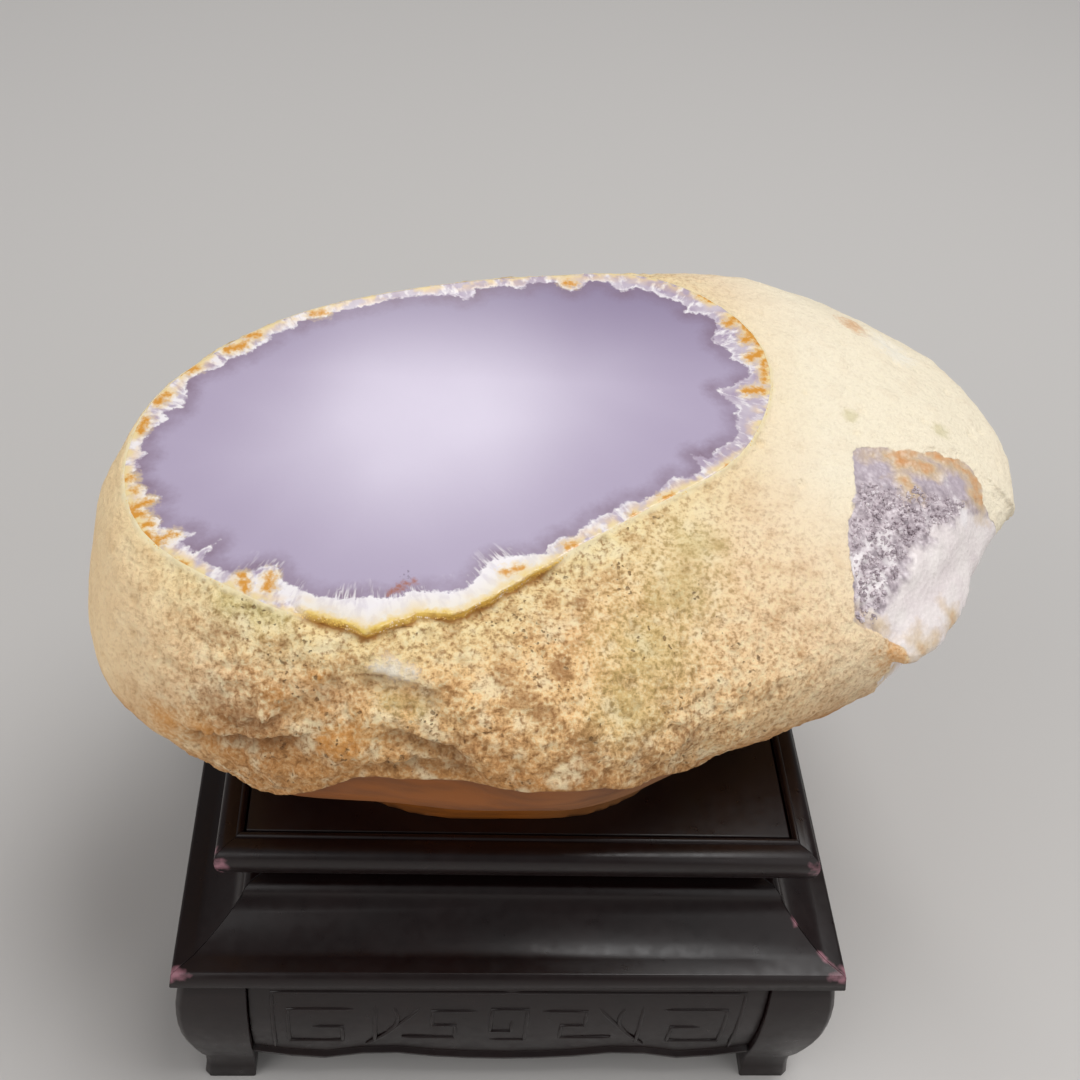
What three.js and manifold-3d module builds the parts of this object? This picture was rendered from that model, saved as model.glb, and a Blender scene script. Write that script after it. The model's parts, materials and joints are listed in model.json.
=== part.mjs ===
// A rough chalcedony nodule with one polished window, on a square stand of lacquered wood.
// Millimetres, +Z up. X runs along the stand's front, from left to right, and Y towards its back.
import * as THREE from 'three';
import { mergeVertices } from 'three/addons/utils/BufferGeometryUtils.js';
import Module from 'manifold-3d';

const wasm = await Module();
wasm.setup();

const fullTurn = 2 * Math.PI;
const radians = THREE.MathUtils.degToRad;
const lerp = THREE.MathUtils.lerp;
const smoothstep = THREE.MathUtils.smoothstep;

// Driving sizes of the stand: half widths of its square plan, and heights above the floor
const lipHalf = 55;
const railHalf = 47.8;
const waistHalf = 41.5;
const panelHalf = 43.2;
const frameInnerHalf = 36;
const panelTop = 59;
const railBottom = 51.5;
const shoulderTop = 45.5;
const lipTop = 37;
const shoulderBottom = 33;
const panelThickness = 3.5;
const jointGap = 0.3;

// Driving sizes of the nodule, measured from the middle of the stand's plan
const windowHeight = 111.5;
const windowTilt = radians(9);
const girthHeight = 87;
const girthRise = 0.07;
const stoneMiddle = new THREE.Vector3(4, 0, 85);
const stoneSteps = 84;

// Materials
const chalcedony = new THREE.MeshStandardMaterial({ color: 0xcbb48a, roughness: 0.9, metalness: 0 });
const lacqueredWood = new THREE.MeshStandardMaterial({ color: 0x2a100d, roughness: 0.25, metalness: 0 });

/** A closed smooth curve of values given at equal steps of azimuth. */
function around(values) {
  return (azimuth) => {
    const count = values.length;
    const place = ((((azimuth / fullTurn) % 1) + 1) % 1) * count;
    const first = Math.floor(place);
    const t = place - first;
    const [a, b, c, d] = [-1, 0, 1, 2].map((k) => values[(first + k + count) % count]);
    return b + 0.5 * t * (c - a + t * (2 * a - 5 * b + 4 * c - d + t * (3 * (b - c) + d - a)));
  };
}

/** Plan outlines of the nodule: a centre, and the radius at every sixteenth of a turn from +X. */
const windowOutline = {
  centre: [-12, -6],
  radius: around([45.5, 53.7, 50, 38.5, 33, 32, 34.8, 40.3, 47.8, 50.2, 44.2, 40.2, 34.4, 29, 28.4, 33.4]),
};
const girthOutline = {
  centre: [6.5, -3],
  radius: around([76.5, 80.5, 76, 58, 53, 51, 55, 66, 71.5, 76, 67, 57, 54, 49, 51, 62]),
};
const baseOutline = {
  centre: [-3, -3],
  radius: around([36, 36, 37, 36, 35, 35, 35, 35, 36, 38, 41, 40, 38, 39.5, 39, 37]),
};

/** The point of an outline at one azimuth, `beyond` millimetres outside it. */
function planPoint(outline, azimuth, beyond = 0) {
  const reach = outline.radius(azimuth) + beyond;
  const [x, y] = outline.centre;
  return [x + reach * Math.cos(azimuth), y + reach * Math.sin(azimuth)];
}

/** Height of the flat polished window, which leans towards the front. */
function windowLevel(y) {
  return windowHeight + Math.tan(windowTilt) * y;
}

/** A repeatable number between -1 and 1 for each point of a whole-number grid. */
function gridNoise(x, y, z) {
  const wave = Math.sin(x * 127.1 + y * 311.7 + z * 74.7) * 43758.5453;
  return 2 * (wave - Math.floor(wave)) - 1;
}

/** Smooth noise between -1 and 1, with lumps about `size` across. */
function smoothNoise(point, size) {
  const [px, py, pz] = [point.x / size, point.y / size, point.z / size];
  const [x, y, z] = [Math.floor(px), Math.floor(py), Math.floor(pz)];
  const [u, v, w] = [smoothstep(px - x, 0, 1), smoothstep(py - y, 0, 1), smoothstep(pz - z, 0, 1)];
  const edge = (j, k) => lerp(gridNoise(x, y + j, z + k), gridNoise(x + 1, y + j, z + k), u);
  return lerp(lerp(edge(0, 0), edge(1, 0), v), lerp(edge(0, 1), edge(1, 1), v), w);
}

/** A number generator that gives the same numbers every time. */
function seededRandom(seed) {
  let state = seed;
  return () => {
    state = (state * 1664525 + 1013904223) % 4294967296;
    return state / 4294967296;
  };
}

/** Turns a closed geometry into a solid that can be joined and cut. */
function solidOf(geometry) {
  const bare = geometry.clone();
  bare.deleteAttribute('normal');
  bare.deleteAttribute('uv');
  const merged = mergeVertices(bare, 1e-4);
  const mesh = new wasm.Mesh({
    numProp: 3,
    vertProperties: new Float32Array(merged.attributes.position.array),
    triVerts: new Uint32Array(merged.index.array),
  });
  return new wasm.Manifold(mesh);
}

/** Turns a solid back into a geometry. */
function geometryOf(solid) {
  const mesh = solid.getMesh();
  const geometry = new THREE.BufferGeometry();
  geometry.setAttribute('position', new THREE.BufferAttribute(new Float32Array(mesh.vertProperties), 3));
  geometry.setIndex(new THREE.BufferAttribute(new Uint32Array(mesh.triVerts), 1));
  return geometry;
}

/** Moves every vertex of a geometry to where `place` puts it. */
function reshape(geometry, place) {
  const positions = geometry.attributes.position;
  const point = new THREE.Vector3();
  for (let i = 0; i < positions.count; i += 1) {
    place(point.fromBufferAttribute(positions, i), i);
    positions.setXYZ(i, point.x, point.y, point.z);
  }
  return geometry;
}

// The nodule's rows, from the middle of the window down to the middle of the base
const upperRows = 11;
const lowerRows = 9;
const rimRow = 1;
const bevelRow = 2;
const girthRow = bevelRow + upperRows;
const rindEdgeRow = girthRow + lowerRows;
const bandTopRow = rindEdgeRow + 1;
const baseRow = bandTopRow + 2;
const lastRow = baseRow + 1;

/** Part of a quarter ellipse: how far across and down it is at `share` of its run from the rim. */
function quarterRound(startAngle, share) {
  const angle = lerp(startAngle, Math.PI / 2, share);
  const across = (Math.sin(angle) - Math.sin(startAngle)) / (1 - Math.sin(startAngle));
  const down = 1 - Math.cos(angle) / Math.cos(startAngle);
  return { across, down };
}

/** How near an azimuth is to another one: 1 within `core` degrees, 0 beyond `edge` degrees. */
function nearAzimuth(azimuth, target, core, edge) {
  const away = Math.abs(THREE.MathUtils.euclideanModulo(azimuth - target + Math.PI, fullTurn) - Math.PI);
  return 1 - smoothstep(away, radians(core), radians(edge));
}

/** The lip outside the window: a narrow broken bevel of crystal facets, widest at the front. */
function bevelPoint(azimuth) {
  const facet = gridNoise(Math.round((azimuth / fullTurn) * stoneSteps), 3, 7);
  const width = lerp(0.9, 1.8, nearAzimuth(azimuth, radians(275), 20, 40));
  const [x, y] = planPoint(windowOutline, azimuth, width * (1 + 0.4 * facet));
  return [x, y, windowLevel(y) - width * (0.9 + 0.3 * facet)];
}

/** The lower edge of the rough rind, which overhangs the smooth band at the front. */
function rindEdgePoint(azimuth) {
  const front = nearAzimuth(azimuth, radians(278), 28, 62);
  const [x, y] = planPoint(baseOutline, azimuth, 1 + 0.9 * front);
  return [x, y, panelTop + 3 + 7 * front];
}

/** A point of the nodule before its lumps, by azimuth and row. */
function stonePoint(azimuth, row) {
  const [girthX, girthY] = planPoint(girthOutline, azimuth);
  const girthZ = girthHeight + girthRise * girthX;
  if (row === 0) {
    const [x, y] = windowOutline.centre;
    return [x, y, windowLevel(y)];
  }
  if (row === rimRow) {
    const [x, y] = planPoint(windowOutline, azimuth);
    return [x, y, windowLevel(y)];
  }
  if (row <= girthRow) {
    const { across, down } = quarterRound(radians(32), (row - bevelRow) / upperRows);
    const [x, y, z] = bevelPoint(azimuth);
    return [lerp(x, girthX, across), lerp(y, girthY, across), lerp(z, girthZ, down)];
  }
  if (row <= rindEdgeRow) {
    const { across, down } = quarterRound(radians(24), (rindEdgeRow - row) / lowerRows);
    const [x, y, z] = rindEdgePoint(azimuth);
    return [lerp(x, girthX, across), lerp(y, girthY, across), lerp(z, girthZ, down)];
  }
  if (row < lastRow) {
    const up = (baseRow - row) / (baseRow - bandTopRow);
    const [x, y] = planPoint(baseOutline, azimuth, 0.5 * Math.sin(Math.PI * up));
    return [x, y, lerp(panelTop, rindEdgePoint(azimuth)[2] - 0.3, up)];
  }
  return [...baseOutline.centre, panelTop];
}

// Ledges and folds low on the left of the front: a line from one end to the other, as [x, z], and
// how far the rind steps in under it
const ledges = [
  { from: [-50, 83.5], to: [-33, 90.5], depth: 1.5 },
  { from: [-22, 94], to: [-10, 91.5], depth: 1.1 },
  { from: [-28, 86], to: [-6, 89], depth: 1.2 },
  { from: [-26, 100.5], to: [-14, 99], depth: 1 },
  { from: [-38, 94], to: [-27, 100], depth: 0.9 },
  { from: [8, 84], to: [26, 87], depth: 0.8 },
];

/** How far the rind steps in at a point, under the ledges of the front. */
function ledgeDepth(point) {
  const front = 1 - smoothstep(point.y, -44, -30);
  return ledges.reduce((sum, { from, to, depth }) => {
    const along = (point.x - from[0]) / (to[0] - from[0]);
    const below = lerp(from[1], to[1], along) - point.z;
    const ends = smoothstep(along, -0.2, 0.15) * (1 - smoothstep(along, 0.85, 1.2));
    const step = smoothstep(below, -0.9, 0.9) * (1 - smoothstep(below, 1.5, 8));
    return sum + depth * step * ends * front;
  }, 0);
}

// Lumps of the rind, coarse to fine: how wide and how high they are
const lumps = [
  { size: 30, height: 1.3 },
  { size: 13, height: 0.6 },
  { size: 6, height: 0.3 },
];

/** How much of the rind's roughness a row takes: none on the window, and none on the base. */
function roughShare(row) {
  const fromRim = smoothstep(row, bevelRow, bevelRow + 3);
  const fromBand = 1 - smoothstep(row, rindEdgeRow - 2, rindEdgeRow + 1);
  return fromRim * fromBand;
}

/** The whole nodule before any chip: a ball's grid pulled to the stone's shape, then made lumpy. */
function noduleBlank() {
  const geometry = new THREE.SphereGeometry(1, stoneSteps, lastRow);
  const rowLength = stoneSteps + 1;
  const rowOf = (index) => Math.floor(index / rowLength);
  reshape(geometry, (point, index) => {
    const step = ((index % rowLength) + stoneSteps / 2) % stoneSteps;
    point.set(...stonePoint((step / stoneSteps) * fullTurn, rowOf(index)));
  });
  geometry.computeVertexNormals();
  const normals = geometry.attributes.normal;
  const normal = new THREE.Vector3();
  reshape(geometry, (point, index) => {
    const seamTwin = index % rowLength === stoneSteps ? index - stoneSteps : index;
    const lump = lumps.reduce((sum, { size, height }) => sum + height * smoothNoise(point, size), 0);
    normal.fromBufferAttribute(normals, seamTwin);
    point.addScaledVector(normal, (lump - ledgeDepth(point)) * roughShare(rowOf(index)));
  });
  return geometry;
}

// The chip at the right end, where a flake of the rind is gone. Its outline is flat on a plane that
// faces up, right and forwards: `across` runs along the plane to the right, and `up` to the back
const chipMiddle = new THREE.Vector3(62, -15, 100);
const chipFacing = new THREE.Vector3(0.35, -0.35, 0.87).normalize();
const chipAcross = new THREE.Vector3(1, 0, 0).projectOnPlane(chipFacing).normalize();
const chipUp = new THREE.Vector3().crossVectors(chipFacing, chipAcross);
const chipOutline = [
  [-11.5, 13.6],
  [-13, 5],
  [-15.8, -4.3],
  [-15.2, -17],
  [-5.6, -19.5],
  [3, -23.5],
  [10, -23],
  [17, -20],
  [25, -12],
  [28, 0],
  [25, 10],
  [18.5, 11.6],
  [14, 13.8],
  [9.7, 17.2],
  [-2, 15.2],
];


// Depths of the chip below the rind's skin, and the directions in its plane that they change along
const chipFeather = 0.25;
const chipShallow = 0.8;
const chipDeep = 4.2;
const flankwards = new THREE.Vector2(0.84, -0.55);
const topEdgewards = new THREE.Vector2(0.43, 0.9);
const topEdgeReach = 19.7;

/** How deep the chip is: shallow along its top, deeper at the stone's flank, fading out down it. */
function chipDepth(point) {
  const away = point.clone().sub(chipMiddle);
  const place = new THREE.Vector2(away.dot(chipAcross), away.dot(chipUp));
  const towardsFlank = smoothstep(place.dot(flankwards), 3, 12);
  const belowTopEdge = smoothstep(topEdgeReach - place.dot(topEdgewards), 0, 7);
  const downFlank = smoothstep(-away.dot(chipFacing), 7, 16);
  const depth = lerp(chipShallow, chipDeep, towardsFlank * belowTopEdge);
  return lerp(depth, chipFeather, downFlank);
}

/** A matrix that puts the chip's plane coordinates, and a height over it, in place. */
function chipPlace(height) {
  const place = new THREE.Matrix4().makeBasis(chipAcross, chipUp, chipFacing);
  return place.setPosition(chipMiddle.clone().addScaledVector(chipFacing, height));
}

/** The nodule without its rind: its surface, drawn in by the chip's depth, is the chip's floor. */
function innerStone(blank) {
  const inner = blank.clone();
  return reshape(inner, (point) => {
    const inwards = stoneMiddle.clone().sub(point).normalize();
    point.addScaledVector(inwards, chipDepth(point));
  });
}

/** What the chip takes away: the outline's prism, down to the inner stone. */
function chipCutter(blank) {
  const depth = 34;
  const prism = new THREE.ExtrudeGeometry(section(chipOutline), { depth, bevelEnabled: false });
  prism.applyMatrix4(chipPlace(-depth / 2));
  return solidOf(prism).subtract(solidOf(innerStone(blank)));
}

/** The smooth lobe of white chalcedony that fills the chip's lower right. */
function whiteLobe() {
  const [halfLength, halfWidth, halfHeight] = [16.5, 8, 3.2];
  const [across, up, height] = [1.4, -7, -4];
  const turn = radians(57);
  const lobe = new THREE.SphereGeometry(1, 16, 8);
  lobe.scale(halfLength, halfWidth, halfHeight);
  lobe.rotateZ(turn);
  lobe.translate(across, up, 0);
  lobe.applyMatrix4(chipPlace(height));
  return solidOf(lobe);
}

/** One quartz point: a short six-sided prism with a six-sided pyramid on it, along +Z. */
function quartzPoint(width, height) {
  const sides = 6;
  const crystal = new THREE.LatheGeometry(
    [
      new THREE.Vector2(0, -height),
      new THREE.Vector2(width / 2, -height),
      new THREE.Vector2(width / 2, 0.15 * height),
      new THREE.Vector2(0, height),
    ],
    sides,
  );
  return crystal.rotateX(Math.PI / 2);
}

/** Quartz points fused all over the left and the middle of the chip's floor. */
function drusyCrystals(blank) {
  const random = seededRandom(11);
  const floor = new THREE.Mesh(innerStone(blank));
  const caster = new THREE.Raycaster();
  const crystals = [];
  const upright = new THREE.Vector3(0, 0, 1);
  const spacing = 3.5;
  const scatter = 1.6;
  const [left, right, bottom, top] = [-13.5, 8, -16, 7];
  const lobeEdge = { slope: 1.15, rise: -4 };
  const aboveLobe = (spot) => spot.y > lobeEdge.slope * spot.x + lobeEdge.rise;
  for (let across = left; across < right; across += spacing) {
    for (let up = bottom; up < top; up += spacing) {
      const spot = new THREE.Vector3(across + scatter * (random() - 0.5), up + scatter * (random() - 0.5), 0);
      const size = lerp(2.2, 3.4, random());
      const lean = new THREE.Vector3(random() - 0.5, random() - 0.5, 0);
      const spin = random() * fullTurn;
      if (spot.x < left || !aboveLobe(spot)) continue;
      caster.set(spot.applyMatrix4(chipPlace(15)), chipFacing.clone().negate());
      const [hit] = caster.intersectObject(floor);
      const facing = hit.face.normal.clone().addScaledVector(lean, 0.7).normalize();
      const crystal = quartzPoint(size, 0.5 * size);
      crystal.rotateZ(spin);
      crystal.applyQuaternion(new THREE.Quaternion().setFromUnitVectors(upright, facing));
      crystal.translate(hit.point.x, hit.point.y, hit.point.z);
      crystals.push(solidOf(crystal));
    }
  }
  return crystals;
}

/** Open pits in the rind, wider than the fine pores. */
function rindPits(blank) {
  const random = seededRandom(5);
  const positions = blank.attributes.position;
  const rowLength = stoneSteps + 1;
  const pitCount = 22;
  const pits = [];
  for (let i = 0; i < pitCount; i += 1) {
    const row = Math.floor(lerp(bevelRow + 3, rindEdgeRow - 2, random()));
    const step = Math.floor(random() * stoneSteps);
    const radius = lerp(0.7, 1.6, random() ** 2);
    const pit = new THREE.IcosahedronGeometry(radius, 0);
    pit.rotateZ(random() * fullTurn);
    const vertex = row * rowLength + step;
    pit.translate(positions.getX(vertex), positions.getY(vertex), positions.getZ(vertex));
    pits.push(solidOf(pit));
  }
  return pits;
}

/** The small bruise on the shoulder at the upper right. */
function shoulderBruise() {
  const [length, width, depth] = [8, 5, 2];
  const [turn, tilt] = [radians(-25), radians(24)];
  const middle = new THREE.Vector3(62, 30, 107.3);
  const cutter = new THREE.BoxGeometry(length, width, depth);
  cutter.rotateZ(turn);
  cutter.rotateY(tilt);
  cutter.translate(...middle);
  return solidOf(cutter);
}

/** The nodule, one solid from its polished window to its flat base. */
function makeNodule() {
  const blank = noduleBlank();
  const cuts = [chipCutter(blank), shoulderBruise(), ...rindPits(blank)];
  const whole = cuts.reduce((stone, cutter) => stone.subtract(cutter), solidOf(blank));
  const growths = [whiteLobe(), ...drusyCrystals(blank)];
  const solid = growths.reduce((stone, growth) => stone.add(growth), whole);
  const nodule = new THREE.Mesh(geometryOf(solid), chalcedony);
  nodule.name = 'nodule';
  return nodule;
}

/** A shape from [outwards, up] points, in the plane of a moulding's section. */
function section(points) {
  return new THREE.Shape(points.map(([outwards, up]) => new THREE.Vector2(outwards, up)));
}

/** A moulding along the front of the square, with its ends cut at 45 degrees to meet its neighbours. */
function mitredBar(name, outline, turn) {
  const geometry = new THREE.ExtrudeGeometry(outline, { depth: 1, bevelEnabled: false, curveSegments: 5 });
  reshape(geometry, (point) => {
    const side = point.z < 0.5 ? 1 : -1;
    point.set(side * (point.x - jointGap / 2), -point.x, point.y);
  });
  const bar = new THREE.Mesh(geometry, lacqueredWood);
  bar.name = name;
  bar.rotation.z = turn;
  return bar;
}

/** The top frame's rail: a rebate for the panel, a fine bead and a round outer edge. */
function railSection() {
  const shelf = panelTop - panelThickness;
  const inner = panelHalf + jointGap;
  const shape = new THREE.Shape();
  shape.moveTo(frameInnerHalf, railBottom);
  shape.lineTo(railHalf - 2.6, railBottom);
  shape.quadraticCurveTo(railHalf, railBottom + 1.6, railHalf, panelTop - 2.6);
  shape.quadraticCurveTo(railHalf, panelTop - 0.2, railHalf - 2.4, panelTop);
  shape.lineTo(inner + 1.1, panelTop);
  shape.absarc(inner + 0.6, panelTop, 0.5, 0, Math.PI, false);
  shape.lineTo(inner, panelTop);
  shape.lineTo(inner, shelf);
  shape.lineTo(frameInnerHalf, shelf);
  return shape;
}

/** The recessed waist board between the top frame and the shoulder. */
function waistSection() {
  return section([
    [frameInnerHalf, shoulderTop],
    [waistHalf, shoulderTop],
    [waistHalf, railBottom],
    [frameInnerHalf, railBottom],
  ]);
}

/** The shoulder: a rounded top edge, a hollow cove and a flat lip. */
function shoulderSection() {
  const coveTop = 44.6;
  const shape = new THREE.Shape();
  shape.moveTo(frameInnerHalf, shoulderBottom);
  shape.lineTo(lipHalf, shoulderBottom);
  shape.lineTo(lipHalf + 0.4, shoulderBottom + 0.7);
  shape.lineTo(lipHalf, lipTop - 0.4);
  shape.lineTo(lipHalf - 0.4, lipTop);
  shape.lineTo(lipHalf - 3, lipTop + 0.3);
  shape.quadraticCurveTo(coveTop + 2.2, lipTop + 1.4, coveTop, shoulderTop - 2.4);
  shape.quadraticCurveTo(coveTop - 0.3, shoulderTop, coveTop - 2.2, shoulderTop);
  shape.lineTo(frameInnerHalf, shoulderTop);
  return shape;
}

// Legs and aprons bulge outwards below the lip and draw in to the feet. A leg's inner faces are flat
const legInnerHalf = 43.5;
const bulge = new THREE.SplineCurve([
  new THREE.Vector2(54.2, 33),
  new THREE.Vector2(55.2, 26),
  new THREE.Vector2(55, 18),
  new THREE.Vector2(53.4, 10),
  new THREE.Vector2(52, 5.5),
  new THREE.Vector2(52.4, 0),
]);

/** Half width of a leg's outer corner at a height. */
function bulgeAt(height) {
  let low = 0;
  let high = 1;
  for (let i = 0; i < 24; i += 1) {
    const middle = (low + high) / 2;
    if (bulge.getPoint(middle).y > height) low = middle;
    else high = middle;
  }
  return bulge.getPoint(low).x;
}

/** A corner leg, its outer corner softened, drawn in and out along the bulge. */
function makeLeg(name, turn) {
  const soft = 0.9;
  const outline = section([
    [legInnerHalf, legInnerHalf],
    [lipHalf, legInnerHalf],
    [lipHalf, lipHalf - soft],
    [lipHalf - soft, lipHalf],
    [legInnerHalf, lipHalf],
  ]);
  const rise = { depth: shoulderBottom, steps: 11, bevelEnabled: false };
  const geometry = new THREE.ExtrudeGeometry(outline, rise);
  const drawn = (across, height) => (across > legInnerHalf ? across - lipHalf + bulgeAt(height) : across);
  reshape(geometry, (point) => point.set(drawn(point.x, point.z), drawn(point.y, point.z), point.z));
  const leg = new THREE.Mesh(geometry, lacqueredWood);
  leg.name = name;
  leg.rotation.z = turn;
  return leg;
}

// The apron's lower edge: heights above the floor, at equal steps from one leg to the other
const scallopHeights = [8.6, 6.2, 8.2, 6.6, 6, 6.6, 8.2, 6.2, 8.6];
const apronThickness = 4;
const apronRecess = 0.9;

/** Height of an apron's scalloped lower edge, by its share of the way along. */
function scallopAt(share) {
  const curve = new THREE.SplineCurve(scallopHeights.map((height, i) => new THREE.Vector2(i, height)));
  return curve.getPoint(THREE.MathUtils.clamp(share, 0, 1)).y;
}

/** An apron between two legs: set back behind them, with a bead along its scalloped edge. */
function makeApron(name, turn) {
  const halfLength = legInnerHalf - jointGap;
  const nominalBottom = 7;
  const levels = [33, 29, 24, 18, 12, 9.2];
  const face = levels.map((height) => [bulgeAt(height) - apronRecess, height]);
  const bead = [
    [bulgeAt(9) - apronRecess + 0.8, 8.6],
    [bulgeAt(8) - apronRecess + 0.9, 7.6],
    [bulgeAt(nominalBottom) - apronRecess, nominalBottom],
  ];
  const back = bulgeAt(nominalBottom) - apronRecess - apronThickness;
  const outline = section([...face, ...bead, [back, nominalBottom], [back, shoulderBottom]]);
  const geometry = new THREE.ExtrudeGeometry(outline, { depth: 1, steps: 14, bevelEnabled: false });
  reshape(geometry, (point) => {
    const drop = (shoulderBottom - point.y) / (shoulderBottom - nominalBottom);
    const height = shoulderBottom - drop * (shoulderBottom - scallopAt(point.z));
    point.set(lerp(halfLength, -halfLength, point.z), -point.x, height);
  });
  const apron = new THREE.Mesh(geometry, lacqueredWood);
  apron.name = name;
  apron.rotation.z = turn;
  return apron;
}

/** The flat panel that the stone rests on. */
function makePanel() {
  const geometry = new THREE.BoxGeometry(2 * panelHalf, 2 * panelHalf, panelThickness);
  geometry.translate(0, 0, panelTop - panelThickness / 2);
  const panel = new THREE.Mesh(geometry, lacqueredWood);
  panel.name = 'top_panel';
  return panel;
}

/** The stand: a panel in a mitred frame, a waist, a shoulder, aprons and legs. */
function makeStand() {
  const stand = new THREE.Group();
  stand.add(makePanel());
  ['front', 'right', 'back', 'left'].forEach((side, i) => {
    const turn = (i * fullTurn) / 4;
    stand.add(mitredBar(`rail_${side}`, railSection(), turn));
    stand.add(mitredBar(`waist_${side}`, waistSection(), turn));
    stand.add(mitredBar(`shoulder_${side}`, shoulderSection(), turn));
    stand.add(makeApron(`apron_${side}`, turn));
  });
  ['back_right', 'back_left', 'front_left', 'front_right'].forEach((corner, i) => {
    stand.add(makeLeg(`leg_${corner}`, (i * fullTurn) / 4));
  });
  return stand;
}

// The whole object, with the middle of its base at the origin
const chalcedonyOnStand = new THREE.Group();
chalcedonyOnStand.add(makeNodule(), makeStand());
const extent = new THREE.Box3().setFromObject(chalcedonyOnStand);
const middle = extent.getCenter(new THREE.Vector3());
chalcedonyOnStand.position.set(-middle.x, -middle.y, -extent.min.z);

export default chalcedonyOnStand;
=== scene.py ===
"""A rough chalcedony nodule with a polished window, on its stand of lacquered wood.

Metres, +Z up, +X to the right along the stand's front. Sizes in the code are given in millimetres.
"""
import json
import math

import bmesh
import bpy
import numpy as np
from mathutils import Matrix, Vector, kdtree

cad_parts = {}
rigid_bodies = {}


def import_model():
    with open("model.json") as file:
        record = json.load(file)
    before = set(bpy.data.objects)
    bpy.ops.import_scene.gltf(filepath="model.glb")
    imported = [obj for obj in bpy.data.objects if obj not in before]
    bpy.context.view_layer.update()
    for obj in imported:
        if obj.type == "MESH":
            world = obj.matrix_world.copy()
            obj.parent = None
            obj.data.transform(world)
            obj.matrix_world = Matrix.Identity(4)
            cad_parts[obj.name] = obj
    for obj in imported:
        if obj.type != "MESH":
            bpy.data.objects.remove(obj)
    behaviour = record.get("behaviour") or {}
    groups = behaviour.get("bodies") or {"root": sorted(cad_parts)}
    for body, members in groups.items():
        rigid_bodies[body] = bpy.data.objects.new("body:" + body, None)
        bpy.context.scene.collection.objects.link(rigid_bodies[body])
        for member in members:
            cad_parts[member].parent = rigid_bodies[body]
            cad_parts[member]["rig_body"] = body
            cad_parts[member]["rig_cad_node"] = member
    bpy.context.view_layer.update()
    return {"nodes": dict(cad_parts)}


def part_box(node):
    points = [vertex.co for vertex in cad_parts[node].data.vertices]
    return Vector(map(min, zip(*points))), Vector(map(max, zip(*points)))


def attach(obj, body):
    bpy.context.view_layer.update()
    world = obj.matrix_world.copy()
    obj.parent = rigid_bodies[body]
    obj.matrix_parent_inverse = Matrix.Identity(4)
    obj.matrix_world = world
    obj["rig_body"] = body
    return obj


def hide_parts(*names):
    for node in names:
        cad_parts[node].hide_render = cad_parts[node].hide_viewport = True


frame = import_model()

bl_info = {
    "name": "Rough Chalcedony",
    "version": (1, 0, 0),
    "blender": (4, 5, 0),
    "location": "View3D > Sidebar > Chalcedony",
    "description": "Builds a rough chalcedony nodule with a polished window on its lacquered stand",
    "category": "Object",
}


# Units, colours and places

MM = 0.001
SIDES = ("front", "right", "back", "left")
CORNERS = ("back_right", "back_left", "front_left", "front_right")


def linear(hex_colour):
    """An sRGB hex colour as linear red, green, blue and alpha."""
    shares = [int(hex_colour[i:i + 2], 16) / 255 for i in (1, 3, 5)]
    return [s / 12.92 if s <= 0.04045 else ((s + 0.055) / 1.055) ** 2.4 for s in shares] + [1.0]


def per(size_mm):
    """The texture scale that makes a pattern's cells `size_mm` wide."""
    return 1 / (size_mm * MM)


def box_mm(node):
    """The lowest and highest corner of a CAD node, in millimetres."""
    return [np.array(corner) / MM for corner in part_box(node)]


panel_low, panel_high = box_mm("top_panel")
STAND_MIDDLE = (panel_low + panel_high) / 2 * (1, 1, 0)
PANEL_TOP = panel_high[2]


# Settings that a user would change

class NoduleSettings(bpy.types.PropertyGroup):
    """Sizes and colours of the stone."""

    step: bpy.props.FloatProperty(
        name="Surface step",
        description="Distance between neighbouring points of the stone's surface, before it is refined",
        default=1.12 * MM, unit="LENGTH",
    )
    pit_count: bpy.props.IntProperty(
        name="Pits", description="Number of open pits in the rind", default=1000
    )
    crystal_count: bpy.props.IntProperty(
        name="Druse crystals", description="Number of quartz points on the broken end", default=1100
    )
    rind_colour: bpy.props.FloatVectorProperty(
        name="Rind", description="Main colour of the rough rind", subtype="COLOR", size=4,
        default=linear("#F8CC90"),
    )
    pale_rind_colour: bpy.props.FloatVectorProperty(
        name="Pale rind", description="Colour of the rind's cream parts", subtype="COLOR", size=4,
        default=linear("#FFF3D9"),
    )
    window_colour: bpy.props.FloatVectorProperty(
        name="Window", description="Colour of the polished chalcedony", subtype="COLOR", size=4,
        default=linear("#B6A9C2"),
    )
    quartz_colour: bpy.props.FloatVectorProperty(
        name="Quartz", description="Colour of the quartz fringe", subtype="COLOR", size=4,
        default=linear("#F8F2F3"),
    )
    iron_colour: bpy.props.FloatVectorProperty(
        name="Iron stain", description="Colour of the iron stains in the quartz", subtype="COLOR",
        size=4, default=linear("#DA9018"),
    )


class StandSettings(bpy.types.PropertyGroup):
    """Sizes and colours of the stand."""

    edge_round: bpy.props.FloatProperty(
        name="Rounded edge", description="Width of the bevel on each sharp edge",
        default=0.3 * MM, unit="LENGTH",
    )
    stroke_width: bpy.props.FloatProperty(
        name="Carved stroke", description="Width of a carved stroke on the aprons",
        default=0.8 * MM, unit="LENGTH",
    )
    wood_colour: bpy.props.FloatVectorProperty(
        name="Lacquer", description="Colour of the lacquered wood", subtype="COLOR", size=4,
        default=linear("#0D0505"),
    )
    # Also paints the highlight along the mitre ridges
    worn_and_sheen_colour: bpy.props.FloatVectorProperty(
        name="Worn corner", description="Colour of the lacquer where it is rubbed thin",
        subtype="COLOR", size=4, default=linear("#A87480"),
    )


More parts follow.
